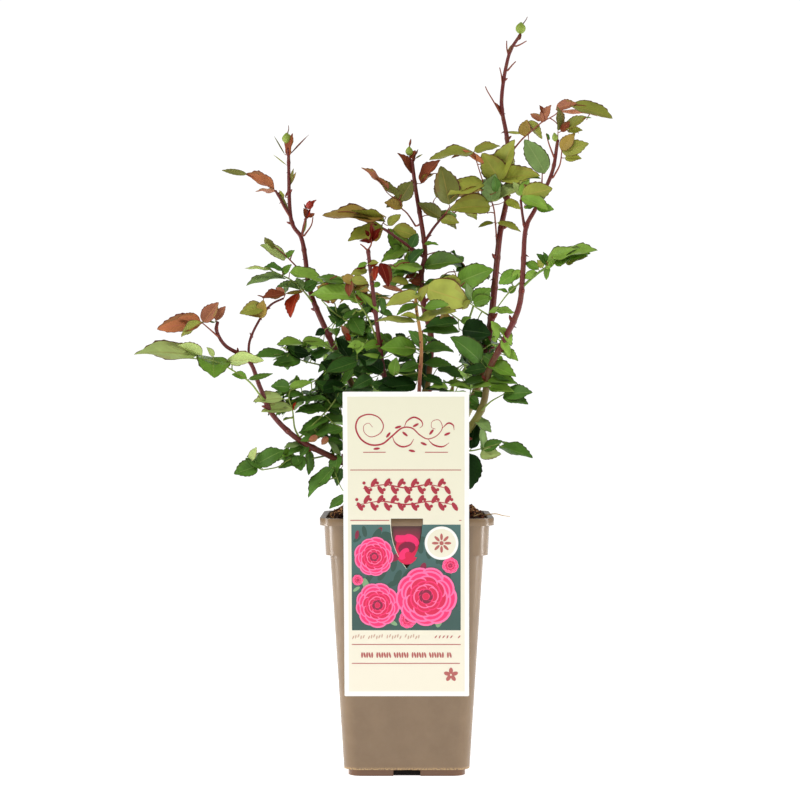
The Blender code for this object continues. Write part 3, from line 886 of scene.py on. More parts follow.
    def finish_stalks(self, barks: dict[Bark, Material]) -> None:
        """Makes the leaf stalks into two pieces, the green ones and the red ones."""
        for colour, bm in self.stalks.items():
            bark = barks[Bark[f"STALK_{colour.upper()}"]]
            finish_piece(f"leaf_stalks_{colour}", bm, [bark])


# ---- the leaves


@dataclass(frozen=True)
class Spray:
    """A spray of leaves: its own stalks from the limb outward, and its blades.

    A blade is its foot, the way from there to its tip, the width that it shows from the front and its tone's
    letter. The width is below 0 where the underside shows.
    """

    name: str
    stalks: tuple[tuple[Triple, ...], ...]
    blades: tuple[Blade, ...]


SPRAYS = (
    Spray("left_tip", (), (
        (-130,82,658, 5,-4,25, 8.8,"N"), (-134,83,660, -12,1,21, 1.5,"O"), (-128,83,660, 21,-1,22, 1.7,"N"),
        (-132,81,648, -15,1,12, 1.3,"L"), (-128,78,625, 4,-2,19, 4.4,"O"), (-127,78,627, 6,-3,13, -3.3,"B"),
        (-133,76,612, 4,0,9, 2.2,"P"),
    )),
    Spray("left_curl", (
        ((-127,71,589), (-135,68,602), (-143,62,617), (-157,54,626), (-174,44,635)),
    ), (
        (-144,62,619, -30,-18,16, 12,"S"), (-173,44,634, -27,-7,4, -6.5,"O"), (-143,62,617, -22,-6,0, -5.5,"C"),
        (-130,70,597, -10,-6,20, 4.4,"O"), (-134,68,611, -5,-2,8, 3.3,"L"),
    )),
    Spray("left_tuft", (
        ((-114,66,570), (-110,62,587)), ((-112,66,569), (-104,62,580), (-102,60,589)),
    ), (
        (-108,61,597, 10,-3,11, 4.4,"R"), (-109,61,597, -3,1,7, 2.2,"N"), (-108,62,588, -4,-2,11, 6.5,"N"),
        (-107,61,589, 7,-3,4, -4.9,"N"), (-110,62,587, 6,-2,12, 4.4,"R"), (-112,65,573, 3,-3,14, 3.3,"O"),
    )),
    Spray("left_upper", (
        ((-110,60,525), (-120,54,535), (-130,46,545), (-143,38,556)),
    ), (
        (-131,46,543, -26,-18,14, 13,"Q"), (-145,38,552, -8,-8,13, -8.6,"O"), (-131,46,544, 10,-2,8, 6.5,"G"),
    )),
    Spray("left_band", (
        ((-101,52,494), (-111,44,507), (-123,30,518), (-140,14,526), (-151,6,531)),
    ), (
        (-144,12,529, -29,-10,2, -3.8,"Q"), (-132,20,527, -20,-12,5, 6.4,"M"), (-130,24,520, -41,-20,-7, 8.6,"T"),
        (-133,22,524, 10,-4,11, 7.5,"G"), (-126,30,527, 38,6,-10, 14,"K"), (-115,36,509, -24,-16,3, 7.5,"T"),
        (-111,40,509, 15,-4,9, 13,"M"), (-112,38,510, -7,-8,11, -9.7,"T"), (-118,40,505, -7,-14,-27, 12.9,"R"),
        (-112,40,507, -19,-10,-3, 4.3,"B"),
    )),
    Spray("left_red", (
        ((-193,-84,454), (-203,-88,463), (-210,-90,469)),
    ), (
        (-210,-90,469, -45,-9,-7, 18.4,"S"), (-209,-98,468, -21,-9,-14, -10.2,"V"), (-209,-88,469, 16,2,21, 15.4,"C"),
        (-196,-86,471, 10,2,15, 9.2,"C"), (-197,-86,469, -6,0,1, 2,"M"), (-211,-90,470, -23,-5,4, 9.2,"S"),
    )),
    Spray("left_far", (
        ((-147,-66,389), (-152,-68,395), (-163,-74,409), (-184,-82,423), (-200,-88,430), (-219,-92,432)),
    ), (
        (-215,-92,435, -63,-11,3, 20.4,"Q"), (-209,-95,435, -24,-10,11, -12.2,"Q"), (-201,-72,434, 5,-32,-22, 35.8,"G"),
        (-198,-86,434, -7,-2,10, 6.1,"Q"), (-186,-82,429, 39,6,2, -13.4,"Q"), (-165,-75,413, -15,-5,3, 8.2,"G"),
        (-163,-74,411, 25,6,6, 6.2,"W"),
    )),
    Spray("left_bow", (), (
        (-149,-66,486, -23,-10,-7, 15.5,"V"), (-151,-64,477, -15,-8,1, 7.2,"B"), (-152,-66,474, 4,-4,19, 13.4,"B"),
        (-126,-60,499, -24,-6,-4, 10.4,"N"), (-148,-66,496, -7,-2,2, 1.6,"N"), (-127,-59,500, -9,-3,6, -6.2,"C"),
    )),
    Spray("left_inner_upper", (
        ((-79,20,424), (-87,16,426), (-112,6,432), (-126,0,441)), ((-76,24,441), (-91,16,451), (-109,6,453)),
    ), (
        (-111,6,449, -27,-14,-1, 9.6,"K"), (-111,8,453, 26,6,-3, 9.6,"K"), (-126,-2,437, -36,-12,-1, 9.5,"M"),
        (-126,0,442, 23,8,-4, 13.8,"D"), (-113,4,432, -29,-10,-5, 15.9,"M"), (-102,10,434, 20,6,10, 8.6,"F"),
        (-97,10,431, -7,-2,6, 4.3,"D"), (-115,4,436, -13,-6,12, 8.5,"F"),
    )),
    Spray("left_inner_lower", (
        ((-112,-43,350), (-117,-46,361), (-119,-50,379), (-123,-50,392), (-121,-46,402)),
        ((-122,-46,400), (-109,-40,404), (-94,-30,411)), ((-112,-43,350), (-91,-34,371), (-77,-26,387), (-70,-18,402)),
        ((-128,-56,369), (-122,-52,371)),
    ), (
        (-122,-46,403, -19,-10,1, 14.6,"M"), (-123,-44,402, 24,6,7, 8.4,"K"), (-103,-36,408, 7,4,4, 3.1,"M"),
        (-108,-40,394, -20,-10,-2, 7.3,"M"), (-129,-56,391, -30,-10,-3, 13.5,"Q"), (-119,-50,381, -32,-12,-3, 12.5,"Q"),
        (-83,-30,390, -38,-16,-4, 6.3,"M"), (-85,-28,380, -32,-12,-3, 11.5,"M"), (-83,-30,371, -28,-12,-15, 11.5,"M"),
        (-67,-34,360, -32,-12,-10, 12.5,"M"), (-90,-36,352, -23,-8,4, 11.5,"M"), (-67,-30,344, -18,-4,5, 7.3,"M"),
        (-93,-46,352, -10,-4,-6, 7.3,"C"), (-82,-46,351, -7,-4,-8, -7.3,"C"), (-99,-46,350, -12,-4,-3, 6.3,"M"),
        (-128,-55,368, 7,5,3, 2.6,"M"), (-119,-50,379, 4,-2,9, 3.1,"R"), (-95,-36,360, 14,6,9, 8.4,"M"),
    )),
    Spray("left_low", (
        ((-77,-22,335), (-82,-26,332), (-102,-32,328), (-114,-40,330), (-125,-46,326), (-134,-52,320), (-150,-58,317)),
    ), (
        (-163,-60,326, 7,0,15, 8.3,"Q"), (-155,-58,321, -24,-8,-8, 18.6,"M"), (-156,-57,323, 29,7,15, 18.7,"M"),
        (-115,-42,332, 5,-6,-16, 16.7,"M"), (-109,-42,328, -25,-8,-9, 11.5,"M"), (-109,-40,343, -19,-8,-3, 6.3,"T"),
        (-109,-40,342, -15,-8,-10, 9.4,"M"), (-104,-40,342, -7,-6,-12, 9.4,"M"), (-104,-34,338, 2,-4,-27, 9.4,"M"),
        (-77,-32,319, -27,-14,-30, 15.7,"M"), (-70,-28,329, -13,-6,18, 6.3,"T"), (-72,-30,333, -5,-6,-26, 13.6,"M"),
        (-69,-20,318, -5,-4,-19, 10.5,"F"), (-150,-58,319, -17,-4,11, 8.3,"M"),
    )),
    Spray("left_core", (), (
        (-65,-10,405, -28,-16,-7, 15.8,"D"), (-61,0,434, -15,-6,22, 13.8,"D"), (-73,-10,390, -23,-14,20, 15.8,"F"),
        (-68,0,419, -22,-14,11, 13.8,"D"), (-64,-8,392, -25,-16,-13, 13.7,"M"), (-70,-10,377, -24,-12,8, 12.7,"F"),
        (-66,-12,368, -25,-14,0, 11.6,"M"), (-66,-16,384, -12,-6,21, 12.7,"F"), (-65,-16,352, -20,-10,6, 11.6,"M"),
        (-66,-18,342, -15,-8,-7, 10.5,"F"), (-68,4,438, -26,-14,-19, 14.9,"F"), (-64,-20,347, -10,-6,17, 9.5,"G"),
        (-88,24,465, -10,-4,-6, 8.6,"D"), (-73,10,479, -12,-6,10, 10.7,"F"), (-72,10,472, -12,-6,7, 9.6,"M"),
        (-62,-4,490, -14,-4,-16, 12.7,"F"),
    )),
    Spray("centre_bronze", (), (
        (-22,28,587, -68,-24,0, 15,"B"), (-23,30,582, -55,-18,4, 9.7,"V"), (-20,26,577, 14,-2,12, -9.7,"V"),
        (-26,26,577, -37,-16,-18, 18.2,"V"), (-35,20,560, 10,-4,13, 8.6,"B"), (-24,26,581, -37,-14,11, -7.5,"V"),
    )),
    Spray("centre_mid", (), (
        (-1,60,552, -19,-6,24, 21.8,"G"), (-3,58,551, -18,-6,-1, 16.3,"G"), (3,38,538, 16,-2,15, 10.8,"F"),
        (-15,46,575, 29,4,-9, 15.2,"V"), (5,42,555, 7,-2,15, 11.9,"F"), (2,56,553, -9,-4,15, 9.8,"K"),
        (4,56,553, -32,-10,-14, 12,"K"), (-2,58,542, 18,-2,11, 10.9,"K"), (19,50,559, 16,-4,-1, 4.3,"G"),
        (17,44,534, -35,-18,-2, 13,"K"), (11,42,527, -26,-12,-1, 7.6,"M"), (2,36,517, -21,-10,1, 9.7,"V"),
        (16,44,517, -14,-6,2, 9.7,"N"), (-26,22,512, 24,6,-6, -5.4,"C"), (20,44,511, -26,-14,-1, 8.6,"W"),
        (15,44,525, -18,-8,-4, 7.6,"N"),
    )),
    Spray("centre_red", (
        ((-40,-76,544), (-37,-77,549), (-36,-80,554)), ((-40,-76,543), (-44,-77,547), (-48,-78,550)),
        ((-38,-70,519), (-31,-72,524), (-28,-72,528)),
    ), (
        (-37,-79,551, 0,-5,20, 7.2,"P"), (-37,-79,552, -12,-3,1, 4.6,"P"), (-36,-79,553, 9,-5,13, 7.2,"P"),
        (-39,-80,558, -4,-2,6, 4.1,"P"), (-39,-70,529, 9,-2,1, 6.2,"R"), (-31,-72,528, -2,-4,-16, 8.2,"R"),
        (-27,-72,531, 8,-6,-25, 13.4,"P"), (-42,-70,528, -10,-2,-3, 5.2,"P"), (-41,-68,524, -17,-4,-5, 9.3,"V"),
        (-40,-72,531, 11,-3,0, 5.2,"V"), (-41,-72,531, -10,-3,-5, 5.2,"G"), (-28,-66,511, -6,-2,-5, 6.2,"G"),
        (-37,-66,513, 7,-2,6, 5.2,"N"),
    )),
    Spray("centre_left_band", (
        ((-32,-36,454), (-38,-42,470), (-43,-46,480), (-50,-48,490), (-56,-48,501), (-67,-44,516), (-73,-42,519)),
        ((-54,-48,500), (-42,-54,508)),
    ), (
        (-53,-47,498, -48,13,2, 19.9,"K"), (-66,-46,519, 13,-4,-9, 11.5,"B"), (-57,-50,516, 17,-5,-5, 11.4,"V"),
        (-59,-48,514, -1,-4,-17, 9.4,"N"), (-49,-50,506, 10,-4,-3, 7.3,"B"), (-53,-50,504, 11,-6,-15, 6.2,"K"),
        (-48,-50,501, 20,-6,-21, 6.2,"K"), (-66,-44,512, -29,8,8, 10.5,"W"), (-53,-48,498, 17,-4,-4, 8.3,"N"),
    )),
    Spray("centre_left_dark", (
        ((-58,-18,448), (-61,-22,458), (-58,-24,476), (-53,-26,484)), ((-68,-14,476), (-78,-16,483), (-90,-20,495)),
        ((-73,-10,474), (-74,-12,481), (-76,-14,492)), ((-77,36,453), (-74,26,465), (-64,10,475)),
    ), (
        (-63,-10,490, -10,-4,-3, 5.3,"M"), (-58,-14,483, -12,-4,-1, 6.3,"T"), (-68,-12,474, -15,-4,10, 7.4,"F"),
        (-65,-14,478, -10,-4,-12, 8.5,"F"), (-67,-20,478, 23,-8,4, 9.5,"M"), (-58,-26,477, 12,-8,-20, 18.9,"M"),
        (-60,-26,452, -5,-2,9, 6.3,"R"), (-62,-26,456, -7,-4,12, 7.4,"C"), (-32,-40,482, 1,-4,18, 8.4,"W"),
        (-27,-42,497, 3,-4,-17, 8.4,"M"), (-28,-42,483, 14,-4,-6, 7.3,"M"), (-36,-36,452, -5,-2,8, 8.4,"F"),
        (-16,-30,452, -11,-4,6, 9.4,"W"), (-3,-34,451, -9,-4,8, 10.5,"D"), (-32,-44,498, 16,-6,0, 2.1,"F"),
        (-49,-24,476, 12,-6,12, 8.4,"M"), (-43,-30,453, -14,-4,-5, 8.4,"W"), (-81,-16,493, -8,-4,2, 4.2,"C"),
    )),
    Spray("centre_tip", (), (
        (6,77,638, -16,-3,23, 9.9,"N"), (16,75,627, 21,-5,26, 12.6,"N"), (16,75,630, 14,-3,8, -6.6,"B"),
        (4,78,655, 6,-2,9, 5.5,"N"), (7,78,650, 6,2,16, 4.4,"N"), (10,79,655, 8,1,5, 1.8,"V"),
        (3,78,669, 2,0,8, 1.8,"N"),
    )),
    Spray("centre_curl", (
        ((10,70,580), (1,62,593), (-6,56,599), (-7,52,606), (-17,48,611)),
    ), (
        (-7,52,606, 13,2,22, 19.6,"O"), (-8,50,608, -21,-8,19, 8.7,"O"), (-26,43,621, -23,-7,20, 6.5,"C"),
        (-20,44,617, -13,-4,14, -6.5,"C"), (-4,56,601, -20,-8,3, 13,"B"),
    )),
    Spray("centre_right_top", (
        ((42,44,591), (47,42,599)),
    ), (
        (37,46,587, -25,10,18, 15.2,"O"), (37,46,586, 20,-8,-5, 11.9,"V"), (46,42,601, -9,-2,42, 28.1,"O"),
    )),
    Spray("centre_right", (
        ((90,50,481), (77,30,488), (66,12,494)), ((64,20,471), (55,8,476), (46,0,482)),
    ), (
        (19,48,535, 42,-18,4, 19.5,"W"), (55,30,516, 38,-10,14, 26.9,"G"), (69,14,494, -5,2,21, 9.6,"T"),
        (72,14,493, 18,-6,16, 19.2,"G"), (71,12,493, 20,-6,6, 13.9,"G"), (20,-6,508, 49,18,-15, 34.1,"L"),
        (57,8,512, -18,-10,9, -8.5,"V"), (43,6,471, -6,-4,12, 12.8,"B"), (56,0,462, -41,-10,0, 12.7,"M"),
        (55,2,472, -36,-10,-4, 12.7,"F"), (59,12,472, 10,-2,6, 8.5,"G"), (59,8,464, 31,-6,-4, 25.6,"D"),
        (92,40,475, 5,-8,-22, 9.7,"K"), (68,10,496, -9,-4,-10, -7.5,"V"),
    )),
    Spray("front_tip", (
        ((9,-77,497), (10,-79,505)), ((9,-76,489), (18,-80,484)), ((10,-73,474), (18,-76,476)),
    ), (
        (14,-78,497, -36,-8,-11, 13.3,"L"), (12,-78,491, 10,-6,18, 9.2,"V"), (18,-80,484, 25,-10,3, 10.3,"G"),
        (12,-76,472, 39,-14,9, 10.3,"Y"), (10,-78,488, -21,-6,-11, 8.2,"G"), (9,-74,470, -41,-10,2, 7.2,"L"),
        (10,-75,473, -17,-5,4, -6.2,"Y"),
    )),
    Spray("core_front", (
        ((15,-40,419), (-2,-46,416), (-12,-48,419)), ((15,-48,442), (-2,-54,445)),
    ), (
        (10,-46,443, -37,-14,1, 20.8,"G"), (19,-25,440, -1,-5,-40, 12.6,"D"), (-25,-34,419, -26,-8,17, 17.8,"D"),
        (-41,-8,439, -19,-6,-4, 13.8,"F"), (-43,-8,416, -17,-6,7, 13.8,"F"), (-15,-10,425, -14,-4,5, 10.6,"F"),
        (-12,-10,414, -17,-4,3, 9.5,"F"), (13,-12,412, -21,-4,7, 11.6,"F"), (43,-30,400, -24,-4,2, 7.3,"F"),
        (-35,-20,401, -22,-6,0, 8.4,"F"), (25,-4,441, -14,-6,-15, 12.7,"F"), (6,-4,441, -15,-6,-11, 12.7,"F"),
        (-28,-36,441, -22,-6,-16, 14.6,"F"), (-17,-40,402, -21,-4,5, 12.5,"F"), (14,-46,441, 35,-12,-1, 11.4,"M"),
        (18,-44,444, -16,-8,18, 13.5,"M"), (-47,-40,450, -5,-6,-12, 10.4,"K"), (-47,-40,449, -15,-4,-4, 9.4,"K"),
        (-28,-38,448, -18,-8,-4, 10.4,"G"), (-25,-38,434, -21,-8,3, 5.2,"K"), (-52,-30,430, -33,-14,-11, 16.8,"F"),
        (-14,-44,415, 3,-6,19, 13.6,"G"), (12,-44,427, -20,-8,-8, 12.5,"M"), (-15,-44,438, 25,-4,-7, 8.3,"M"),
        (18,-40,428, 29,-10,-2, 10.4,"M"), (32,-34,423, 27,-6,-10, 10.5,"F"), (12,-42,416, -13,-4,-1, 6.3,"M"),
        (10,-40,406, -40,-12,-4, 18.8,"D"), (17,-38,414, 22,-6,-8, 9.4,"F"), (43,-44,402, -19,-4,1, 6.3,"K"),
        (-36,-36,413, -21,-10,-11, 14.6,"F"), (-32,-30,425, -17,-8,-6, 11.5,"F"), (-7,-40,402, -23,-8,8, 10.4,"D"),
        (-57,-32,423, -9,-8,-17, 9.4,"M"),
    )),
    Spray("core_right", (), (
        (78,-20,430, -32,-14,26, 23.1,"M"), (99,-50,453, 8,-4,-19, 9.4,"K"), (96,-48,465, 13,-4,-19, 9.4,"K"),
        (85,-42,410, 31,-6,-3, 9.4,"G"), (84,-40,427, 30,-10,-13, 14.6,"G"), (87,-38,419, 25,-6,-9, 11.5,"M"),
        (66,-40,401, 39,-8,7, 7.3,"K"), (67,-38,401, -23,-4,4, 7.3,"K"), (86,-42,402, 26,-8,-4, 11.5,"K"),
        (99,-44,441, 17,-6,-11, 9.4,"K"), (85,-36,411, -29,6,-5, 9.4,"M"), (67,-34,402, -28,4,6, 7.3,"K"),
        (83,-30,423, -23,0,-4, 12.6,"F"), (81,-20,436, 17,-6,-11, 12.6,"M"), (76,-10,440, 8,-6,-19, 12.7,"F"),
    )),
    Spray("right_low_upper", (
        ((79,-34,379), (88,-38,388), (100,-44,395)),
    ), (
        (101,-44,396, 29,-16,2, 16.6,"M"), (101,-44,395, 25,-16,-9, 12.5,"M"), (66,-30,393, 10,0,-8, 9.5,"M"),
        (71,-30,398, 12,-4,-6, 7.3,"M"),
    )),
    Spray("right_low", (
        ((56,-10,338), (66,-18,336), (77,-26,338), (98,-36,344)),
    ), (
        (71,-22,372, 18,-10,-16, 11.6,"T"), (66,-22,385, 13,-6,-6, 9.5,"M"), (81,-26,335, -3,0,28, 9.5,"T"),
        (68,-16,338, 5,0,32, 19,"D"), (81,-28,337, 19,-8,10, 11.5,"M"), (77,-26,332, 22,-10,1, 13.6,"Q"),
        (97,-36,341, 34,-18,-12, 13.6,"M"),
    )),
    Spray("right_hang", (), (
        (64,-20,334, 3,-12,-38, 28.4,"D"),
    )),
    Spray("right_band", (
        ((118,-64,512), (105,-58,500), (95,-52,487)),
    ), (
        (115,-62,522, -20,4,-12, 14.5,"G"), (118,-64,524, -10,2,-11, 9.3,"K"), (105,-56,501, -11,2,4, 3.6,"G"),
        (106,-56,501, 8,-4,7, 7.3,"G"), (93,-52,482, 20,6,-1, 8.3,"K"), (97,-52,485, -12,6,-4, 6.2,"K"),
    )),
    Spray("right_spray", (
        ((145,-76,527), (154,-80,531), (163,-84,535)),
    ), (
        (149,-80,537, 45,-19,7, 13.3,"K"), (151,-80,531, 36,-17,9, 15.4,"G"), (144,-79,531, 29,-9,14, 12.3,"K"),
        (163,-84,530, 22,-12,7, 8.2,"Y"), (144,-78,528, -11,-2,12, 7.2,"M"), (143,-78,532, -3,-2,10, 5.1,"M"),
        (140,-74,526, -6,-2,8, 7.2,"L"), (146,-77,526, -3,-3,-13, 6.2,"G"), (136,-72,524, -14,6,8, 9.3,"G"),
        (134,-70,522, -13,4,-7, 9.3,"K"), (143,-77,525, 10,-5,8, 7.2,"K"),
    )),
    Spray("right_cluster_left", (
        ((99,66,554), (97,60,582), (94,56,602), (84,50,624), (74,44,654)), ((84,50,624), (98,54,633)),
    ), (
        (73,44,658, -49,-10,-8, 11.9,"V"), (73,44,659, 29,2,7, 10.8,"V"), (84,48,647, -24,-6,14, 6.5,"S"),
        (58,42,655, -10,-2,-4, 3.2,"S"), (101,56,627, 17,4,47, 24,"Y"), (102,54,627, -20,-4,31, -27.2,"Y"),
        (101,56,631, 44,-6,4, 20.7,"Y"), (114,58,629, 32,-6,2, 6.5,"G"), (84,50,626, -40,-14,-14, 19.5,"Y"),
        (91,52,600, -45,-14,-4, 23.8,"V"), (82,48,617, -35,-8,-10, -7.6,"B"), (92,54,605, 4,-8,30, 23.9,"T"),
        (97,44,615, -2,-4,17, 11.9,"M"), (93,50,605, 38,-4,22, 11.9,"Q"), (108,52,606, 16,-4,-9, 9.8,"Y"),
        (95,60,583, -17,-4,-5, 4.9,"V"), (99,60,583, 26,-4,-10, 7.6,"V"),
    )),
    Spray("right_inner", (
        ((139,-74,610), (140,-66,624)), ((118,-60,597), (127,-64,593), (134,-68,589)),
    ), (
        (117,-84,598, 28,-6,-14, 15.4,"K"), (118,-84,599, 31,-8,7, -20.5,"V"), (133,-80,588, 18,-4,-3, 10.3,"G"),
        (120,-84,587, 11,-2,1, 5.1,"G"), (118,-60,602, 9,-2,16, 10.4,"K"), (119,-60,601, -9,2,15, 9.3,"Q"),
        (143,-66,624, -21,6,36, 22.8,"T"),
    )),
    Spray("right_compound", (
        ((116,84,663), (127,78,676), (137,70,684), (147,60,692), (161,48,699), (168,44,706)),
    ), (
        (129,76,679, 3,-4,18, 14.3,"B"), (133,72,695, 16,-6,-20, -9.9,"V"), (147,60,694, -12,2,8, 7.6,"C"),
        (147,60,693, 10,-6,18, 10.9,"C"), (149,58,702, -4,0,9, 4.4,"N"), (162,47,705, 22,-7,6, 10.8,"C"),
        (177,42,709, 45,-14,-15, 14,"V"), (111,88,685, 20,-4,-2, 3.3,"L"), (163,46,702, 44,-12,-4, -4.3,"C"),
    )),
    Spray("right_top", (
        ((150,-81,618), (157,-82,631), (159,-84,646)), ((151,-82,639), (146,-82,652), (143,-82,663)),
    ), (
        (155,-83,666, -1,-3,25, 9.2,"O"), (158,-84,665, 9,-4,10, 8.2,"N"), (161,-84,668, 23,-6,12, 10.2,"V"),
        (183,-90,679, 6,-1,-1, 1.5,"W"), (165,-84,665, 15,-4,1, 7.2,"Y"), (159,-84,644, 27,-8,8, 16.4,"V"),
        (158,-84,646, 14,-4,17, 13.3,"B"), (162,-83,638, 17,-5,-1, 9.2,"Y"), (145,-82,656, -2,0,8, 3.1,"M"),
    )),
    Spray("right_tip", (
        ((121,96,781), (126,96,783), (133,96,787)), ((113,95,770), (111,95,779), (111,95,787)),
        ((112,94,754), (117,94,760), (121,94,764)), ((106,92,737), (105,92,748), (103,92,757)),
        ((105,88,703), (97,86,717), (89,84,730), (87,84,735)),
    ), (
        (114,95,772, 2,0,11, 3.3,"B"), (106,92,738, -1,0,11, 3.9,"S"), (104,88,704, -7,-2,14, 3.9,"N"),
        (125,96,788, 2,1,8, 4.4,"N"),
    )),
    Spray("left_low_fallen", (), (
        (-62,-74,291, -18,-6,-13, 9.3,"M"),
    )),
)


@dataclass(frozen=True)
class Mass:
    """A mass of foliage: its place in the crown, how many leaflets grow in it, their tones, and if it hides the sky."""

    name: str
    leaflets: int
    tones: str
    dense: bool = False

    @property
    def node(self) -> str:
        """The CAD node that it fills."""
        return f"foliage_{self.name}"


MASSES = tuple(Mass(*row) for row in (
    ("left_tip", 4, "ON"), ("left_curl", 4, "OC"), ("left_tuft", 2, "NR"), ("left_upper", 8, "QVG"),
    ("left_band", 22, "GKMT"), ("left_bow", 8, "VB"), ("left_red", 8, "CSV"), ("left_far", 10, "LGK"),
    ("left_inner_upper", 20, "GMF", True), ("left_inner_lower", 26, "GMF", True), ("left_low", 20, "GM", True),
    ("left_hang", 8, "GM"), ("centre_left_band", 16, "KBV", True), ("centre_left_dark", 24, "MFG", True),
    ("centre_red", 8, "PGN"), ("centre_bronze", 12, "BVO"), ("centre_mid", 20, "GKM", True), ("centre_tip", 6, "NO"),
    ("centre_curl", 8, "OB"), ("centre_right_top", 10, "OV"), ("centre_right_olive", 16, "WVG", True),
    ("centre_right_mid", 22, "GMF", True), ("front_tip", 6, "GY"), ("core_front", 40, "FDM", True),
    ("core_left", 54, "FDM", True), ("core_right", 54, "FDM", True), ("right_low_upper", 12, "GM", True),
    ("right_low", 16, "GM", True), ("right_hang", 10, "FM"), ("right_band", 14, "GM"), ("right_spray", 10, "GK"),
    ("right_cluster_left", 22, "YVG"), ("right_cluster_mid", 22, "YGT"), ("right_inner", 16, "YG"),
    ("right_compound", 10, "VC"), ("right_top", 10, "VO"), ("right_tip", 2, "NO"), ("back_left", 90, "GMK"),
    ("back_right", 90, "GMK"), ("back_low", 60, "GMF"),
))

RED_TONES = "NCSRPB"

GAPS = (
    (-180, -109, 284, 306), (-176, -145, 342, 372), (92, 114, 350, 385), (-112, -100, 459, 485), (-160, -140, 446, 463),
    (-80, -61, 526, 543), (-176, -166, 374, 402), (-119, -94, 414, 426), (-159, -105, 308, 311), (-90, -70, 285, 296),
    (-143, -132, 340, 357), (115, 119, 433, 468), (-27, -2, 464, 470), (-160, -141, 423, 430), (98, 114, 322, 330),
    (-176, -172, 440, 463), (-152, -145, 399, 415), (-180, -171, 329, 340), (-136, -121, 413, 419),
    (-138, -115, 460, 463), (43, 54, 437, 448), (27, 54, 432, 439), (50, 55, 423, 430), (46, 54, 468, 474),
    (21, 30, 519, 527), (32, 50, 525, 529), (-109, -95, 365, 374), (-116, -101, 401, 408), (61, 89, 538, 548),
    (55, 74, 575, 581), (29, 40, 414, 417), (44, 54, 411, 413), (-98, -89, 316, 324),
)
"""The largest gaps in the crown, as seen from the front, in the plane Y = 0: left, right, low and high."""


def region_of(name: str) -> str:
    """Returns the region of a spray or mass, which is one piece: the first word of its name, or the centre in front."""
    return name.split("_")[0].replace("front", "centre")


@dataclass
class Eye:
    """The place that the bush is looked at from, which tells what a leaf would hide."""

    x: float = -7.1
    y: float = -2368.0
    z: float = 389.6
    reach: float = 2226.5
    cell: float = 2.0
    cells: int = 400

    @property
    def place(self) -> Vector:
        """Its place in millimetres."""
        return Vector((self.x, self.y, self.z))

    def project(self, point: Vector) -> tuple[int, int]:
        """Finds where a point falls in the picture plane.

        Args:
            point: The point, in millimetres.

        Returns:
            The cell's row and column.
        """
        k = self.reach / (point.y - self.y)
        across = int((self.cells * self.cell / 2 + (point.x - self.x) * k) / self.cell)
        down = int((self.cells * self.cell / 2 - (point.z - self.z) * k) / self.cell)
        return min(max(down, 0), self.cells - 1), min(max(across, 0), self.cells - 1)

    def window(self, left: float, right: float, low: float, high: float, y: float) -> tuple[slice, slice]:
        """Finds the cells that an upright rectangle covers.

        Args:
            left: Its left side.
            right: Its right side.
            low: Its lower side.
            high: Its upper side.
            y: Its depth.

        Returns:
            The cells' rows and columns.
        """
        top, first = self.project(Vector((left, y, high)))
        bottom, last = self.project(Vector((right, y, low)))
        return slice(top, bottom + 1), slice(first, last + 1)


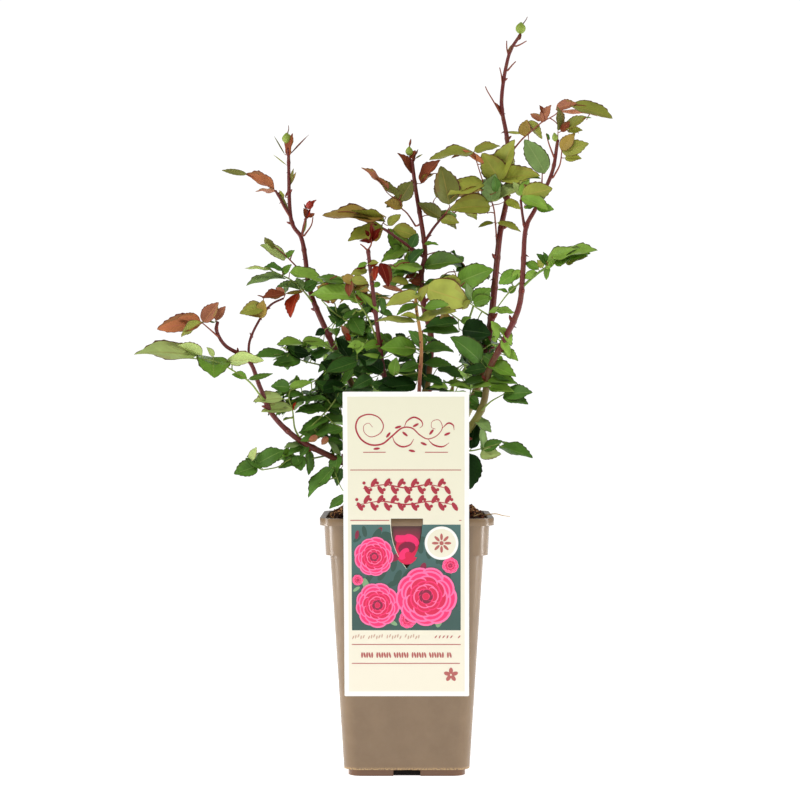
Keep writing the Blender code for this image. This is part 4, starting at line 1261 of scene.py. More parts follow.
class Foliage:
    """All the leaves. It places those of the sprays, then grows the rest behind them by a seeded branching rule."""

    along = 14
    lanes = (1.0, 0.9, 0.55, 0.04)
    outline_power = 0.8
    tooth_depth = 0.05
    slimness = 0.6
    slight = 2.6
    flush_z = 520.0
    label_window = (-62, 62, 250, 396, -95)
    label_depth = -92.0
    least_hidden = 0.94
    fine_grid = (36, 15)
    coarse_grid = (10, 3)
    dense_ahead = 6.0
    dense_step = 1.6
    tries = 14
    reach = (8.0, 95.0)
    leaflet_length = (22, 33)
    leaflet_width = (0.55, 0.68)
    two_pairs = (0.78, 0.5)
    lone_pair = (0.74,)
    lone_below = 26.0

    def __init__(self, wood: Wood, eye: Eye) -> None:
        """Starts with no leaves.

        Args:
            wood: The wood that they grow on.
            eye: Where they are looked at from.
        """
        self.wood = wood
        self.eye = eye
        self.chance = random.Random(29)
        self.front = np.full((eye.cells, eye.cells), np.inf)
        self.regions: dict[str, BMesh] = {}
        self.tones = [tone.value[0] for tone in Tone]
        self.count = 0

    @staticmethod
    def frame(foot: Vector, tip: Vector, face: Vector, roll: float) -> Matrix:
        """Returns a leaf's frame: X along it, Z out of its upper face.

        Args:
            foot: Where its blade starts.
            tip: Its tip.
            face: The way that its upper face looks, roughly.
            roll: How far it turns about its length, in radians.

        Returns:
            The frame.
        """
        axis = (tip - foot).normalized()
        normal = face - face.dot(axis) * axis
        normal = normal.normalized() if normal.length > 1e-4 else axis.orthogonal().normalized()
        normal.rotate(Matrix.Rotation(roll, 3, axis))
        frame = Matrix((axis, normal.cross(axis), normal)).transposed().to_4x4()
        frame.translation = foot
        return frame

    def half_width(self, u: float) -> float:
        """Returns the blade's outline: its half width, out of 1, at a share of its length."""
        u = min(max(u, 0.0), 1.0)
        return sin(pi * u**self.outline_power) ** (0.56 + 0.4 * u)

    def add_leaf(self, region: str, frame: Matrix, length: float, width: float, tone: str, calm: float = 1.0) -> None:
        """Adds one toothed leaflet, folded on its midrib, arched and waved.

        Args:
            region: The piece that takes it.
            frame: Its frame, in millimetres.
            length: Its length.
            width: Its real width.
            tone: Its tone's letter.
            calm: How much of the usual fold and wave it has.
        """
        rand = self.chance
        ranges = ((-0.02, 0.05), (0.12, 0.5), (0.02, 0.09), (0.0, 0.1), (-0.28, 0.28))
        arch, fold, wave, droop, twist = (rand.uniform(*limits) * calm for limits in ranges)
        phase = rand.uniform(0, 2 * pi)
        hand = rand.choice((1, -1, 0))
        start = rand.uniform(-0.4, 0.1)
        bm = bmesh.new()
        uv = bm.loops.layers.uv.new("leaf")
        rows = 2 * len(self.lanes) - 1
        grid = bmesh.ops.create_grid(bm, x_segments=self.along, y_segments=rows, size=0.5)["verts"]
        for face in bm.faces:
            face.material_index = len(Skin) * self.tones.index(tone) + self.skin(face.calc_center_median(), hand, start)
            for loop in face.loops:
                loop[uv].uv = (loop.vert.co.x + 0.5, loop.vert.co.y + 0.5)
        for vert in grid:
            u = vert.co.x + 0.5
            lane = round((0.5 - abs(vert.co.y)) * rows)
            s = self.lanes[lane] if vert.co.y > 0 else -self.lanes[lane]
            column = round(u * self.along)
            ahead = 0.0
            size = self.half_width(u)
            if lane == 0 and 0 < column < self.along:
                size *= 1 + self.tooth_depth * (0.5 if column % 2 else -0.7)
                ahead = 0.018 if column % 2 else -0.01
            y = s * size * width / 2
            z = fold * abs(y) + arch * length * 4 * u * (1 - u) - droop * length * max(u - 0.6, 0) ** 2 * 4
            z += wave * width * s * s * sin(2 * pi * 1.6 * u + phase + (0 if s > 0 else 1.7)) * size
            turn = twist * (u - 0.3)
            across, out = y * cos(turn) - z * sin(turn), y * sin(turn) + z * cos(turn)
            vert.co = frame @ Vector(((u + ahead) * length, across, out))
        if region not in self.regions:
            self.regions[region] = bmesh.new()
            self.regions[region].loops.layers.uv.new("leaf")
        merge(self.regions[region], bm)
        self.count += 1

    @staticmethod
    def skin(middle: Vector, hand: int, start: float) -> Skin:
        """Tells which skin a face of a leaflet has.

        Args:
            middle: The face's middle, on a leaflet that is 1 long and 1 wide.
            hand: The side that is flushed, as 1 or -1, or 0 for neither.
            start: Where along the leaflet its flush starts.

        Returns:
            The skin.
        """
        off = abs(middle.y)
        if off < 0.05:
            return Skin.MIDRIB
        if off > 0.4:
            return Skin.MARGIN
        return Skin.FLUSH if off > 0.25 and middle.y * hand > 0 and middle.x > start else Skin.BLADE

    def samples(self, frame: Matrix, length: float, width: float, steps: int, rows: int) -> Iterable[Vector]:
        """Reads points evenly over a leaf's blade.

        Args:
            frame: The leaf's frame.
            length: Its length.
            width: Its width.
            steps: How many steps to take along it.
            rows: How many points to read across it.

        Yields:
            Each point in turn.
        """
        for i in range(steps + 1):
            u = i / steps
            size = self.half_width(u) * width / 2
            for j in range(rows):
                yield frame @ Vector((u * length, size * (2 * j / (rows - 1) - 1), 0))

    def stalk_colour(self, red: bool, z: float) -> str:
        """Returns a stalk's colour: red under red leaves, and wherever it is high up in the sun."""
        return "red" if red or z > self.flush_z else "green"

    def place_sprays(self) -> None:
        """Places the stalks and blades of every spray."""
        for spray in SPRAYS:
            tones = sorted(blade[7] in RED_TONES for blade in spray.blades)
            for bends in spray.stalks:
                knots = [Vector(bend) for bend in bends]
                colour = self.stalk_colour(tones[len(tones) // 2], knots[0].z)
                gaps = [self.wood.nearest(end)[1] for end in (knots[0], knots[-1])]
                if gaps[1] < gaps[0]:
                    knots.reverse()
                self.wood.spring(knots[0], 1.2, 1.05, colour)
                self.wood.add_stalk(knots, 1.05, 0.6, colour)
            for blade in spray.blades:
                self.place_blade(region_of(spray.name), blade)

    def place_blade(self, region: str, blade: Blade) -> None:
        """Places one blade of a spray, rolled until it shows its width.

        Args:
            region: The piece that takes it.
            blade: Its row in the spray.
        """
        foot = Vector(blade[:3])
        tip = foot + Vector(blade[3:6])
        seen, tone = blade[6:]
        show = abs(seen)
        length = (tip - foot).length
        slim = show < 0.24 * length and length < 30 or show < self.slight
        width = show * 1.15 if slim else max(show * 1.04, min(self.slimness * length, show * 2.6))
        roll = acos(min(1.0, show / width))
        look = self.eye.place - (foot + tip) / 2
        look.normalize()
        top = look if seen > 0 else -look
        frame = max((self.frame(foot, tip, top, turn) for turn in (roll, -roll)), key=lambda turned: turned.col[2].z)
        self.wood.spring(foot, 0.6, 0.42, self.stalk_colour(tone in RED_TONES, foot.z))
        self.add_leaf(region, frame, length, width, tone, 0.5 if slim else 1.0)
        for point in self.samples(frame, length, show, *self.fine_grid):
            cell = self.eye.project(point)
            self.front[cell] = min(self.front[cell], point.y)

    def shade_label(self) -> None:
        """Marks what the label hides, so that the crown is as full behind it as elsewhere."""
        self.front[self.eye.window(*self.label_window)] = self.label_depth

    def keep_gaps(self) -> None:
        """Keeps the largest gaps in the crown open, so that nothing grows across them."""
        for gap in GAPS:
            self.front[self.eye.window(*gap, 0)] = np.nan

    def shade_dense(self) -> None:
        """Marks what the dense masses would hide, so that leaves may grow in them between the sprays."""
        for mass in (mass for mass in MASSES if mass.dense):
            mesh = bpy.data.objects[mass.node].data
            mesh.calc_loop_triangles()
            depth = sum(vert.co.y for vert in mesh.vertices) / len(mesh.vertices) / MM - self.dense_ahead
            for corner in mesh.loop_triangles:
                a, b, c = (mesh.vertices[i].co / MM for i in corner.vertices)
                steps = max(2, ceil(max((b - a).length, (c - a).length) / self.dense_step))
                for i in range(steps + 1):
                    for j in range(steps + 1 - i):
                        cell = self.eye.project(a + (b - a) * i / steps + (c - a) * j / steps)
                        if self.front[cell] == np.inf:
                            self.front[cell] = depth

    def is_behind(self, frame: Matrix, length: float, width: float) -> bool:
        """Tells whether a new leaf would lie behind those placed, from the front.

        Args:
            frame: The leaf's frame.
            length: Its length.
            width: Its width.

        Returns:
            Whether nearly all of it would be hidden.
        """
        points = list(self.samples(frame, length, width, *self.coarse_grid))
        hits = sum(bool(self.front[self.eye.project(point)] < point.y - 1.0) for point in points)
        return hits >= self.least_hidden * len(points)

    def grow_masses(self) -> None:
        """Grows every mass: twigs spring from the nearest wood and bear compound leaves."""
        near, far = self.reach
        for mass in MASSES:
            corners = [vert.co / MM for vert in bpy.data.objects[mass.node].data.vertices]
            centre = sum(corners, Vector()) / len(corners)
            grown = 0
            for _ in range(mass.leaflets * self.tries):
                if grown >= mass.leaflets:
                    break
                aim = centre.lerp(self.chance.choice(corners), self.chance.uniform(0.1, 0.92))
                start, gap = self.wood.nearest(aim)
                if near <= gap <= far:
                    grown += self.grow_compound(mass, start, aim)
            LOG.info("%s: %d of %d leaflets grown", mass.node, grown, mass.leaflets)

    def grow_compound(self, mass: Mass, start: Vector, aim: Vector) -> int:
        """Grows one compound leaf of three or five leaflets from a point on the wood.

        Args:
            mass: The mass that it belongs to.
            start: Where its stalk springs.
            aim: Where its last leaflet starts.

        Returns:
            How many leaflets it bears.
        """
        rand = self.chance
        up = Vector((0, 0, 1))
        stem = aim - start
        away = Vector((aim.x, aim.y, 0)).normalized()
        face = (up + 0.45 * away + Vector([rand.uniform(-0.35, 0.35) for _ in range(3)])).normalized()
        ahead = (stem.normalized() + 0.35 * away - Vector((0, 0, 0.3))).normalized()
        size = rand.uniform(*self.leaflet_length)
        spots = [(1.0, ahead, 1.0)]
        side = ahead.cross(face).normalized()
        for share in self.two_pairs if stem.length > self.lone_below else self.lone_pair:
            for hand in (1, -1):
                spots.append((share, (ahead * 0.45 + side * hand).normalized(), 0.82 if share > 0.6 else 0.7))
        tone = rand.choice(mass.tones)
        bend = start + stem * 0.55 + Vector((0, 0, 0.12 * stem.length))
        curve = smooth_route((start, bend, aim), 2.0)
        leaves = []
        for share, way, scale in spots:
            foot = curve[min(int(share * len(curve)), len(curve) - 1)] + way * 1.5
            length = size * scale * rand.uniform(0.88, 1.12)
            width = length * rand.uniform(*self.leaflet_width)
            tip = foot + way * length - Vector((0, 0, length * 0.12))
            frame = self.frame(foot, tip, face, rand.uniform(-0.4, 0.4))
            if self.is_behind(frame, length, width):
                leaves.append((frame, length, width))
        if not leaves:
            return 0
        colour = self.stalk_colour(tone in RED_TONES, aim.z)
        self.wood.add_stalk((start, bend, aim), 0.8, 0.45, colour)
        for frame, length, width in leaves:
            self.wood.spring(frame.translation.copy(), 0.5, 0.4, colour)
            self.add_leaf(region_of(mass.name), frame, length, width, tone)
        return len(leaves)

    def finish_leaves(self) -> None:
        """Makes the leaves into one piece for each region."""
        skins = [material for tone in Tone for material in LeafFinish(tone).make()]
        for region, bm in self.regions.items():
            used = sorted({face.material_index for face in bm.faces})
            for face in bm.faces:
                face.material_index = used.index(face.material_index)
            nodes = [mass.node for mass in MASSES if region_of(mass.name) == region]
            finish_piece(f"leaves_{region}", bm, [skins[number] for number in used], nodes)
        LOG.info("%d leaflets in all", self.count)


# ---- buds


@dataclass
class Tips:
    """The flower buds at the tops of the canes, with their dry styles."""

    sides: int = 12
    profile: tuple[Pair, ...] = ((0, 0.25), (0.1, 0.62), (0.3, 0.95), (0.5, 1), (0.7, 0.8), (0.88, 0.42), (1, 0.1))
    buds: tuple[tuple[Triple, Triple, float, Bark], ...] = (
        ((-131, 84, 672), (-132, 84, 684), 5.8, Bark.BUD_GREEN),
        ((3, 77, 658), (3, 77, 668), 4.3, Bark.BUD_GREEN),
        ((-106, 60, 598), (-105, 58, 607), 4.4, Bark.BUD_RED),
        ((126, 96, 795), (127, 97, 808), 5.8, Bark.BUD_GREEN),
        ((153, -82, 655), (151, -83, 664), 3.2, Bark.BUD_GREEN),
    )
    styles: tuple[tuple[Triple, Triple], ...] = (
        ((-131, 84, 683), (-130, 84, 692)), ((129, 97, 806), (134, 97, 814)), ((3, 77, 667), (5, 77, 676)),
    )

    def build(self, barks: dict[Bark, Material]) -> None:
        """Builds the buds and their styles.

        Args:
            barks: The bark materials, which hold those of the buds and styles.
        """
        kinds = (Bark.BUD_GREEN, Bark.BUD_RED)
        bm = bmesh.new()
        for foot, tip, radius, kind in self.buds:
            route = [Vector(foot).lerp(Vector(tip), share) for share, _ in self.profile]
            part = sweep(route, [radius * swell for _, swell in self.profile], self.sides, kinds.index(kind))
            part.normal_update()
            for vert in part.verts:
                vert.co += vert.normal * 0.25 * noise.noise(vert.co / 1.6)
            merge(bm, part)
        finish_piece("flower_buds", bm, [barks[kind] for kind in kinds])
        bm = bmesh.new()
        for foot, tip in self.styles:
            middle = (Vector(foot) + Vector(tip)) / 2 + Vector((0.8, 0, 0.4))
            route = smooth_route((foot, middle, tip), 1.0)
            merge(bm, sweep(route, taper(route, 0.7, 0.35), 6))
        finish_piece("dry_styles", bm, [barks[Bark.STYLE]])


# ---- the pot


@dataclass
class Pot:
    """The square blown pot: a tapering body, a stepped collar and a flat flange round its mouth, in millimetres."""

    height: float = 268.0
    flange_half: float = 90.0
    flange: float = 7.5
    collar_top: float = 85.5
    collar_foot: float = 84.0
    step_z: float = 229.5
    body_top: float = 79.5
    body_foot: float = 65.5
    foot_half: float = 61.0
    foot: float = 7.0
    floor: float = 10.0
    wall: float = 1.6
    corner_share: float = 0.24
    corner_steps: int = 9
    notch: Triple = (28.0, 5.0, 6.0)
    drain: float = 5.0
    slot: Triple = (35.0, 88.4, 85.8)
    edge_round: float = 0.9

    def profile(self) -> tuple[Pair, ...]:
        """Lists the wall's steps.

        Returns:
            Half width and height at each step, up the outside and down the inside.
        """
        ledge = self.step_z + self.wall
        lip = self.height - self.flange
        return (
            (self.foot_half, self.foot), (self.body_foot, self.foot),
            (self.body_top, self.step_z), (self.collar_foot, self.step_z),
            (self.collar_top, lip), (self.flange_half, lip), (self.flange_half, self.height),
            (self.collar_top - self.wall, self.height),
            (self.collar_foot - self.wall, ledge), (self.body_top - self.wall, ledge),
            (self.body_foot - self.wall, self.floor),
        )

    def build(self, plastic: Material) -> None:
        """Draws a rounded square up the profile, cuts the slot, notches and drains, and rounds its edges.

        Args:
            plastic: The pot's material.
        """
        bm = bmesh.new()
        bmesh.ops.create_grid(bm, x_segments=1, y_segments=1, size=self.foot_half)
        bmesh.ops.reverse_faces(bm, faces=bm.faces)
        corner = self.foot_half * 2 * self.corner_share * 0.5
        bmesh.ops.bevel(
            bm, geom=bm.verts[:], offset=corner, segments=self.corner_steps, profile=0.5, affect="VERTICES", material=-1
        )
        edges = bm.edges[:]
        half, z = self.foot_half, 0.0
        for next_half, next_z in self.profile():
            edges, ring = extrude(bm, edges)
            bmesh.ops.scale(bm, vec=(next_half / half, next_half / half, 1), verts=ring)
            bmesh.ops.translate(bm, vec=(0, 0, next_z - z), verts=ring)
            half, z = next_half, next_z
        close(bm, edges)
        piece = finish_piece("pot_shell", bm, [plastic], ["pot"], flat=True)
        carve(piece, self.cutters())
        rounding = piece.modifiers.new("rounded_edges", "BEVEL")
        rounding.width = self.edge_round * MM
        rounding.segments = 2
        rounding.limit_method = "ANGLE"
        rounding.angle_limit = radians(35)
        settle(piece)
        piece.data.shade_smooth()
        piece.data.set_sharp_from_angle(angle=radians(40))

    def cutters(self) -> BMesh:
        """Builds the shape that cuts the flange's slot, the foot's notches and the drains.

        Returns:
            The cutting shape, in metres.
        """
        width, depth, height = self.notch
        reach = self.foot_half - depth / 2 + 1
        drain = {"cap_ends": True, "segments": 16, "radius1": self.drain, "radius2": self.drain}
        bm = bmesh.new()
        for side in range(4):
            turn = Matrix.Rotation(side * pi / 2, 4, "Z")
            size = Matrix.Diagonal((width, depth, 2 * height, 1))
            bmesh.ops.create_cube(bm, size=1, matrix=turn @ Matrix.Translation((0, -reach, 0)) @ size)
            place = turn @ Matrix.Translation((0, -reach, 2 * self.floor))
            bmesh.ops.create_cone(bm, depth=3 * self.floor, matrix=place, **drain)
        width, outer, inner = self.slot
        size = Matrix.Diagonal((width, outer - inner, 4 * self.flange, 1))
        bmesh.ops.create_cube(bm, size=1, matrix=Matrix.Translation((0, -(outer + inner) / 2, self.height)) @ size)
        return to_metres(bm)


# ---- the compost


@dataclass(frozen=True)
class Litter:
    """Chipped blocks that lie on the compost, of several kinds, each more or less common.

    Their length is in millimetres, and their width and depth are shares of it, each from least to most.
    """

    name: str
    count: int
    length: Pair
    width: Pair
    depth: Pair
    kinds: tuple[Grain, ...]
    weights: tuple[int, ...]


@dataclass
class Compost:
    """Composted bark: a low mound covered with chips, and splinters and a twig lying on it, in millimetres."""

    half: float = 83.0
    corner: float = 20.0
    edge_z: float = 262.0
    top_z: float = 276.5
    skirt: float = 20.0
    steps: int = 48
    litters: tuple[Litter, ...] = (
        Litter(
            "bark_chips", 2600, (1.6, 5.4), (0.5, 0.95), (0.25, 0.6),
            (Grain.HUMUS, Grain.BARK_DARK, Grain.BARK_RED, Grain.BARK_TAN), (6, 6, 6, 7),
        ),
        Litter(
            "wood_splinters", 110, (4.5, 10.0), (0.1, 0.2), (0.08, 0.15), (Grain.SPLINTER, Grain.BARK_TAN), (3, 2)
        ),
    )
    twig: tuple[Triple, ...] = (
        (80, -66, 270.5), (91, -73, 272.3), (99, -77, 270.6), (106, -80, 270.0)
    )
    notch_shadow_block: Triple = (27.6, 3.6, 5.4)
    notch_shadow_place: Triple = (0, -57.6, 3.2)
    chance: random.Random = field(default_factory=lambda: random.Random(5))

    def level(self, x: float, y: float) -> float:
        """Finds the mound's height at a place.

        Args:
            x: The place across.
            y: The place in depth.

        Returns:
            The height.
        """
        share = min(1.0, max(abs(x), abs(y)) / self.half)
        rise = (1 - share**6) * (self.top_z - self.edge_z)
        return self.edge_z + rise + 1.6 * noise.noise(Vector((x, y, 0)) / 13)

    def build(self, grains: dict[Grain, Material]) -> None:
        """Builds the mound, its litter, the dry twig on its rim and near-black blocks in the foot's notches, which are
        painted shadow.

        Args:
            grains: The compost's materials.
        """
        bm = bmesh.new()
        bmesh.ops.create_grid(bm, x_segments=self.steps, y_segments=self.steps, size=self.half)
        for vert in bm.verts:
            pull = 1 - 0.15 * max(0.0, hypot(vert.co.x, vert.co.y) / self.half - 1)
            vert.co.z = self.level(vert.co.x, vert.co.y)
            vert.co.x *= pull
            vert.co.y *= pull
        edges, ring = extrude(bm, [edge for edge in bm.edges if edge.is_boundary])
        for vert in ring:
            vert.co.z = self.edge_z - self.skirt
        close(bm, edges)
        finish_piece("compost_mound", bm, [grains[Grain.HUMUS]], ["soil"])
        for litter in self.litters:
            self.scatter(litter, grains)
        route = smooth_route(self.twig, 1.5)
        finish_piece("dry_twig", sweep(route, taper(route, 0.7, 0.35), 6), [grains[Grain.SPLINTER]])
        # Near-black blocks in the foot's notches: painted shadow.
        bm = bmesh.new()
        for side in range(4):
            place = Matrix.Rotation(side * pi / 2, 4, "Z") @ Matrix.Translation(self.notch_shadow_place)
            bmesh.ops.create_cube(bm, size=1, matrix=place @ Matrix.Diagonal((*self.notch_shadow_block, 1)))
        finish_piece("compost_in_drains", bm, [grains[Grain.WET]], flat=True)

    def scatter(self, litter: Litter, grains: dict[Grain, Material]) -> None:
        """Scatters chipped blocks over the mound.

        Args:
            litter: What to scatter.
            grains: The compost's materials.
        """
        rand = self.chance
        least, most = litter.length
        flat_half = self.half - self.corner
        bm = bmesh.new()
        for _ in range(litter.count):
            x, y = (rand.uniform(-self.half, self.half) for _ in range(2))
            if hypot(max(abs(x) - flat_half, 0), max(abs(y) - flat_half, 0)) > self.corner - 2:
                continue
            size = rand.triangular(least, most, least)
            shape = (size, size * rand.uniform(*litter.width), size * rand.uniform(*litter.depth), 1)
            turn = Matrix.Rotation(rand.uniform(0, 2 * pi), 4, "Z") @ Matrix.Rotation(rand.gauss(0, 0.45), 4, "Y")
            turn = turn @ Matrix.Rotation(rand.gauss(0, 0.5), 4, "X")
            place = Matrix.Translation((x, y, self.level(x, y) + rand.uniform(0.1, 2.4)))
            part = bmesh.new()
            bmesh.ops.create_cube(part, size=1)
            for vert in part.verts:
                vert.co *= rand.uniform(0.7, 1.15)
            bmesh.ops.transform(part, matrix=place @ turn @ Matrix.Diagonal(shape), verts=part.verts)
            kind = rand.choices(range(len(litter.kinds)), litter.weights)[0]
            for face in part.faces:
                face.material_index = kind
            merge(bm, part)
        finish_piece(litter.name, bm, [grains[kind] for kind in litter.kinds], flat=True)


# ---- the label


@dataclass
class Label:
    """The hanging label: a leaning card with a tongue through the flange's slot, and a generic print, in millimetres.

    A print is measured forward from the card's back, and is below 0 in Y until it leans with the card.
    """

    inks: dict[Ink, Material]
    half: float = 64.25
    foot_z: float = 84.0
    top_z: float = 398.0
    thick: float = 0.6
    panel_margin: Pair = (4.7, 5.0)
    touch_z: float = 260.5
    touch_y: float = -90.35
    slope: float = 0.1163
    hinge_z: float = 268.35
    tongue_half: float = 16.4
    tongue_length: float = 52.0
    tongue_y: float = -86.75
    tongue_clear: float = 1.2
    ink_lift: float = 0.12
    sunk: float = 0.05
    skew: float = 0.0038
    picture: tuple[float, float, float, float] = (-56.2, 55.6, 152.8, 262.2)
    badge: Pair = (36.0, 243.1)
    rosette: Pair = (45.5, 106.3)

    def back(self, z: float) -> float:
        """Returns the Y of the card's back at a height."""
        return self.touch_y - self.slope * (z - self.touch_z)

    def lean(self, bm: BMesh) -> None:
        """Leans a shape back with the card, and a little to the left."""
        for vert in bm.verts:
            vert.co.y += self.back(vert.co.z)
            vert.co.x -= self.skew * (vert.co.z - self.foot_z)

    def narrow(self, share: float) -> float:
        """Returns how wide the tongue is at a share of its length, out of 1."""
        return 1 - share**2.5

    def hole(self) -> BMesh:
        """Builds the shape that the tongue leaves open in the card, not yet leaning.

        Returns:
            The cutting shape.
        """
        steps = 17
        sides = []
        for step in range(steps):
            share = step / steps
            sides.append((self.tongue_half * self.narrow(share), self.hinge_z - share * self.tongue_length))
        left = [(-x, z) for x, z in sides]
        return self.plate(left + [(0.0, self.hinge_z - self.tongue_length)] + sides[::-1], 30.0, -30.0)

    def plate(self, outline: Sequence[Pair], near: float, far: float, number: int = 0) -> BMesh:
        """Extrudes an outline in X and Z into a thin plate.

        Args:
            outline: Its corners.
            near: How far its front stands before the card's back.
            far: How far its back does.
            number: Its material number.

        Returns:
            The shape, not yet leaning.
        """
        bm = bmesh.new()
        bm.faces.new([bm.verts.new((x, -far, z)) for x, z in outline])
        made = bmesh.ops.extrude_face_region(bm, geom=bm.faces[:])["geom"]
        front = [item for item in made if isinstance(item, BMVert)]
        bmesh.ops.translate(bm, vec=(0, far - near, 0), verts=front)
        close(bm, number=number)
        return bm

    def print_on(self, outline: Sequence[Pair], lift: float, number: int) -> BMesh:
        """Returns a printed shape, lifted by so many layers of ink."""
        return self.plate(outline, self.thick + lift * self.ink_lift, self.thick - self.sunk, number)

    def bar(self, x0: float, x1: float, z0: float, z1: float, lift: float) -> BMesh:
        """Returns a printed bar between two corners, lifted by so many layers of ink."""
        return self.print_on([(x0, z0), (x1, z0), (x1, z1), (x0, z1)], lift, 0)

    def disc(
        self, x: float, z: float, radius: float, lift: float, number: int = 0, squash: float = 1.0, turn: float = 0.0,
        sides: int = 24,
    ) -> BMesh:
        """Returns a printed disc or ellipse.

        Args:
            x: Its centre across.
            z: Its centre's height.
            radius: Its longer radius.
            lift: How many layers of ink it stands on.
            number: Its material number.
            squash: Its shorter radius, as a share.
            turn: How far its longer radius is turned from level, in radians.
            sides: How many sides it has.

        Returns:
            The shape, not yet leaning.
        """
        outline = []
        for step in range(sides):
            angle = 2 * pi * step / sides
            a, b = radius * cos(angle), radius * squash * sin(angle)
            outline.append((x + a * cos(turn) - b * sin(turn), z + a * sin(turn) + b * cos(turn)))
        return self.print_on(outline, lift, number)

    def petals(self, centre: Pair, reach: float, angles: Iterable[float], *disc: float) -> list[BMesh]:
        """Returns a ring of petals that point outwards.

        Args:
            centre: The ring's centre, in X and Z.
            reach: How far out each petal's centre is.
            angles: Where each petal stands on the ring, in radians.
            *disc: Each petal's radius, layers of ink, material number and shorter radius as a share.

        Returns:
            The petals.
        """
        x, z = centre
        return [self.disc(x + reach * cos(a), z + reach * sin(a), *disc, turn=a, sides=14) for a in angles]

    def stroke(self, bends: Sequence[Pair], wide: float, thin: float) -> BMesh:
        """Draws a pen stroke through points in X and Z: thin at its ends and wide between.

        Args:
            bends: The points that it passes through.
            wide: Its radius in the middle.
            thin: Its radius at the ends.

        Returns:
            The stroke, not yet leaning.
        """
        route = smooth_route([(x, 0, z) for x, z in bends], 0.8)
        last = len(route) - 1
        widths = [thin + (wide - thin) * sin(pi * i / last) ** 1.5 for i in range(len(route))]
        bm = sweep(route, widths, 8)
        bmesh.ops.scale(bm, vec=(1, 0.18, 1), verts=bm.verts)
        bmesh.ops.translate(bm, vec=(0, -self.thick - 0.04, 0), verts=bm.verts)
        return bm

    def finish_print(self, name: str, parts: Iterable[BMesh], inks: Sequence[Ink], y: float | None = None) -> None:
        """Joins prints into one piece.

        Args:
            name: The piece's name.
            parts: The prints.
            inks: Their inks, in the order of the material numbers.
            y: Where their zero stands when they don't lean with the card.
        """
        bm = bmesh.new()
        for part in parts:
            if y is None:
                self.lean(part)
            else:
                bmesh.ops.translate(part, vec=(0, y, 0), verts=part.verts)
            merge(bm, part)
        finish_piece(name, bm, [self.inks[ink] for ink in inks], flat=True)

    def build(self) -> None:
        """Builds the card, its tongue and its print."""
        self.build_card()
        self.build_tongue()
        self.build_rules()
        self.build_flourish()
        self.build_garlands()
        self.build_picture()
        self.build_small_print()

    def build_card(self) -> None:
        """Builds the white card and its cream panel, each with the opening cut out."""
        layers = (
            ("label_sheet", (0.0, 0.0), self.thick, 0.0, 1.2, Ink.WHITE, ["label"]),
            ("label_panel", self.panel_margin, self.thick + 0.06, self.thick - self.sunk, 0.2, Ink.CREAM, []),
        )
        for name, (aside, inward), near, far, corner, ink, nodes in layers:
            half, low, high = self.half - aside, self.foot_z + inward, self.top_z - inward
            bm = self.plate([(-half, low), (half, low), (half, high), (-half, high)], near, far)
            upright = [edge for edge in bm.edges if abs(edge.verts[0].co.y - edge.verts[1].co.y) > 0.03]
            bmesh.ops.bevel(bm, geom=upright, offset=corner, segments=4, profile=0.5, affect="EDGES", material=-1)
            self.lean(bm)
            piece = finish_piece(name, bm, [self.inks[ink]], nodes, flat=True)
            hole = self.hole()
            bmesh.ops.translate(hole, vec=(0, self.back(self.hinge_z), 0), verts=hole.verts)
            carve(piece, to_metres(hole))

    def build_tongue(self) -> None:
        """Builds the tongue, folded back over the flange and hanging through the slot, and the print on it."""
        top = self.hinge_z + self.thick / 2
        folds = ((-88.4, -0.1), (-87.4, 0.6), (-87.0, 2.4), (-86.9, 14), (-86.6, 28), (-86.3, 44))
        route = smooth_route([(0, self.back(top) + 0.2, top)] + [(0, y, top - drop) for y, drop in folds], 1.6)
        full = half = self.tongue_half - self.tongue_clear
        run = 0.0
        bm = bmesh.new()
        edges = [bm.edges.new([bm.verts.new((x, route[0].y, route[0].z)) for x in (-half, half)])]
        for before, point in zip(route, route[1:]):
            run += (point - before).length
            edges, ring = extrude(bm, edges)
            next_half = max(full * self.narrow(run / self.tongue_length), 0.6)
            bmesh.ops.scale(bm, vec=(next_half / half, 1, 1), verts=ring)
            bmesh.ops.translate(bm, vec=point - before, verts=ring)
            half = next_half
        close(bm)
        bmesh.ops.solidify(bm, geom=bm.faces[:], thickness=self.thick * 0.9)
        finish_piece("label_tongue", bm, [self.inks[Ink.TONGUE]], flat=True)
        blots = (
            (0, 236, 12, 0, 0, 1.25, 0), (-4, 250, 9, 0.2, 1, 0.6, 0.5), (5, 246, 8.5, 0.4, 1, 0.6, -0.6),
            (0, 238, 9, 0.6, 2, 0.7, 0.2), (-3, 232, 7, 0.8, 1, 0.6, 0.9), (3, 229, 6, 1.0, 0, 0.7, -0.8),
        )
        parts = [self.disc(*blot) for blot in blots]
        self.finish_print("printed_tongue", parts, [Ink.ROSE_DEEP, Ink.ROSE, Ink.MAROON], self.tongue_y)

    def build_rules(self) -> None:
        """Prints the thin rules."""
        rules = (
            (-43.7, -20.8, 336.3), (19.3, 42.7, 336.3), (-57.0, 56.1, 318.2), (-57.2, -17.3, 266.5),
            (54.0, 56.5, 266.5), (-56.5, 55.6, 138.0), (-56.6, 54.8, 118.3),
        )
        parts = [self.bar(x0, x1, z - 0.45, z + 0.45, 1.5) for x0, x1, z in rules]
        self.finish_print("printed_rules", parts, [Ink.RUST])

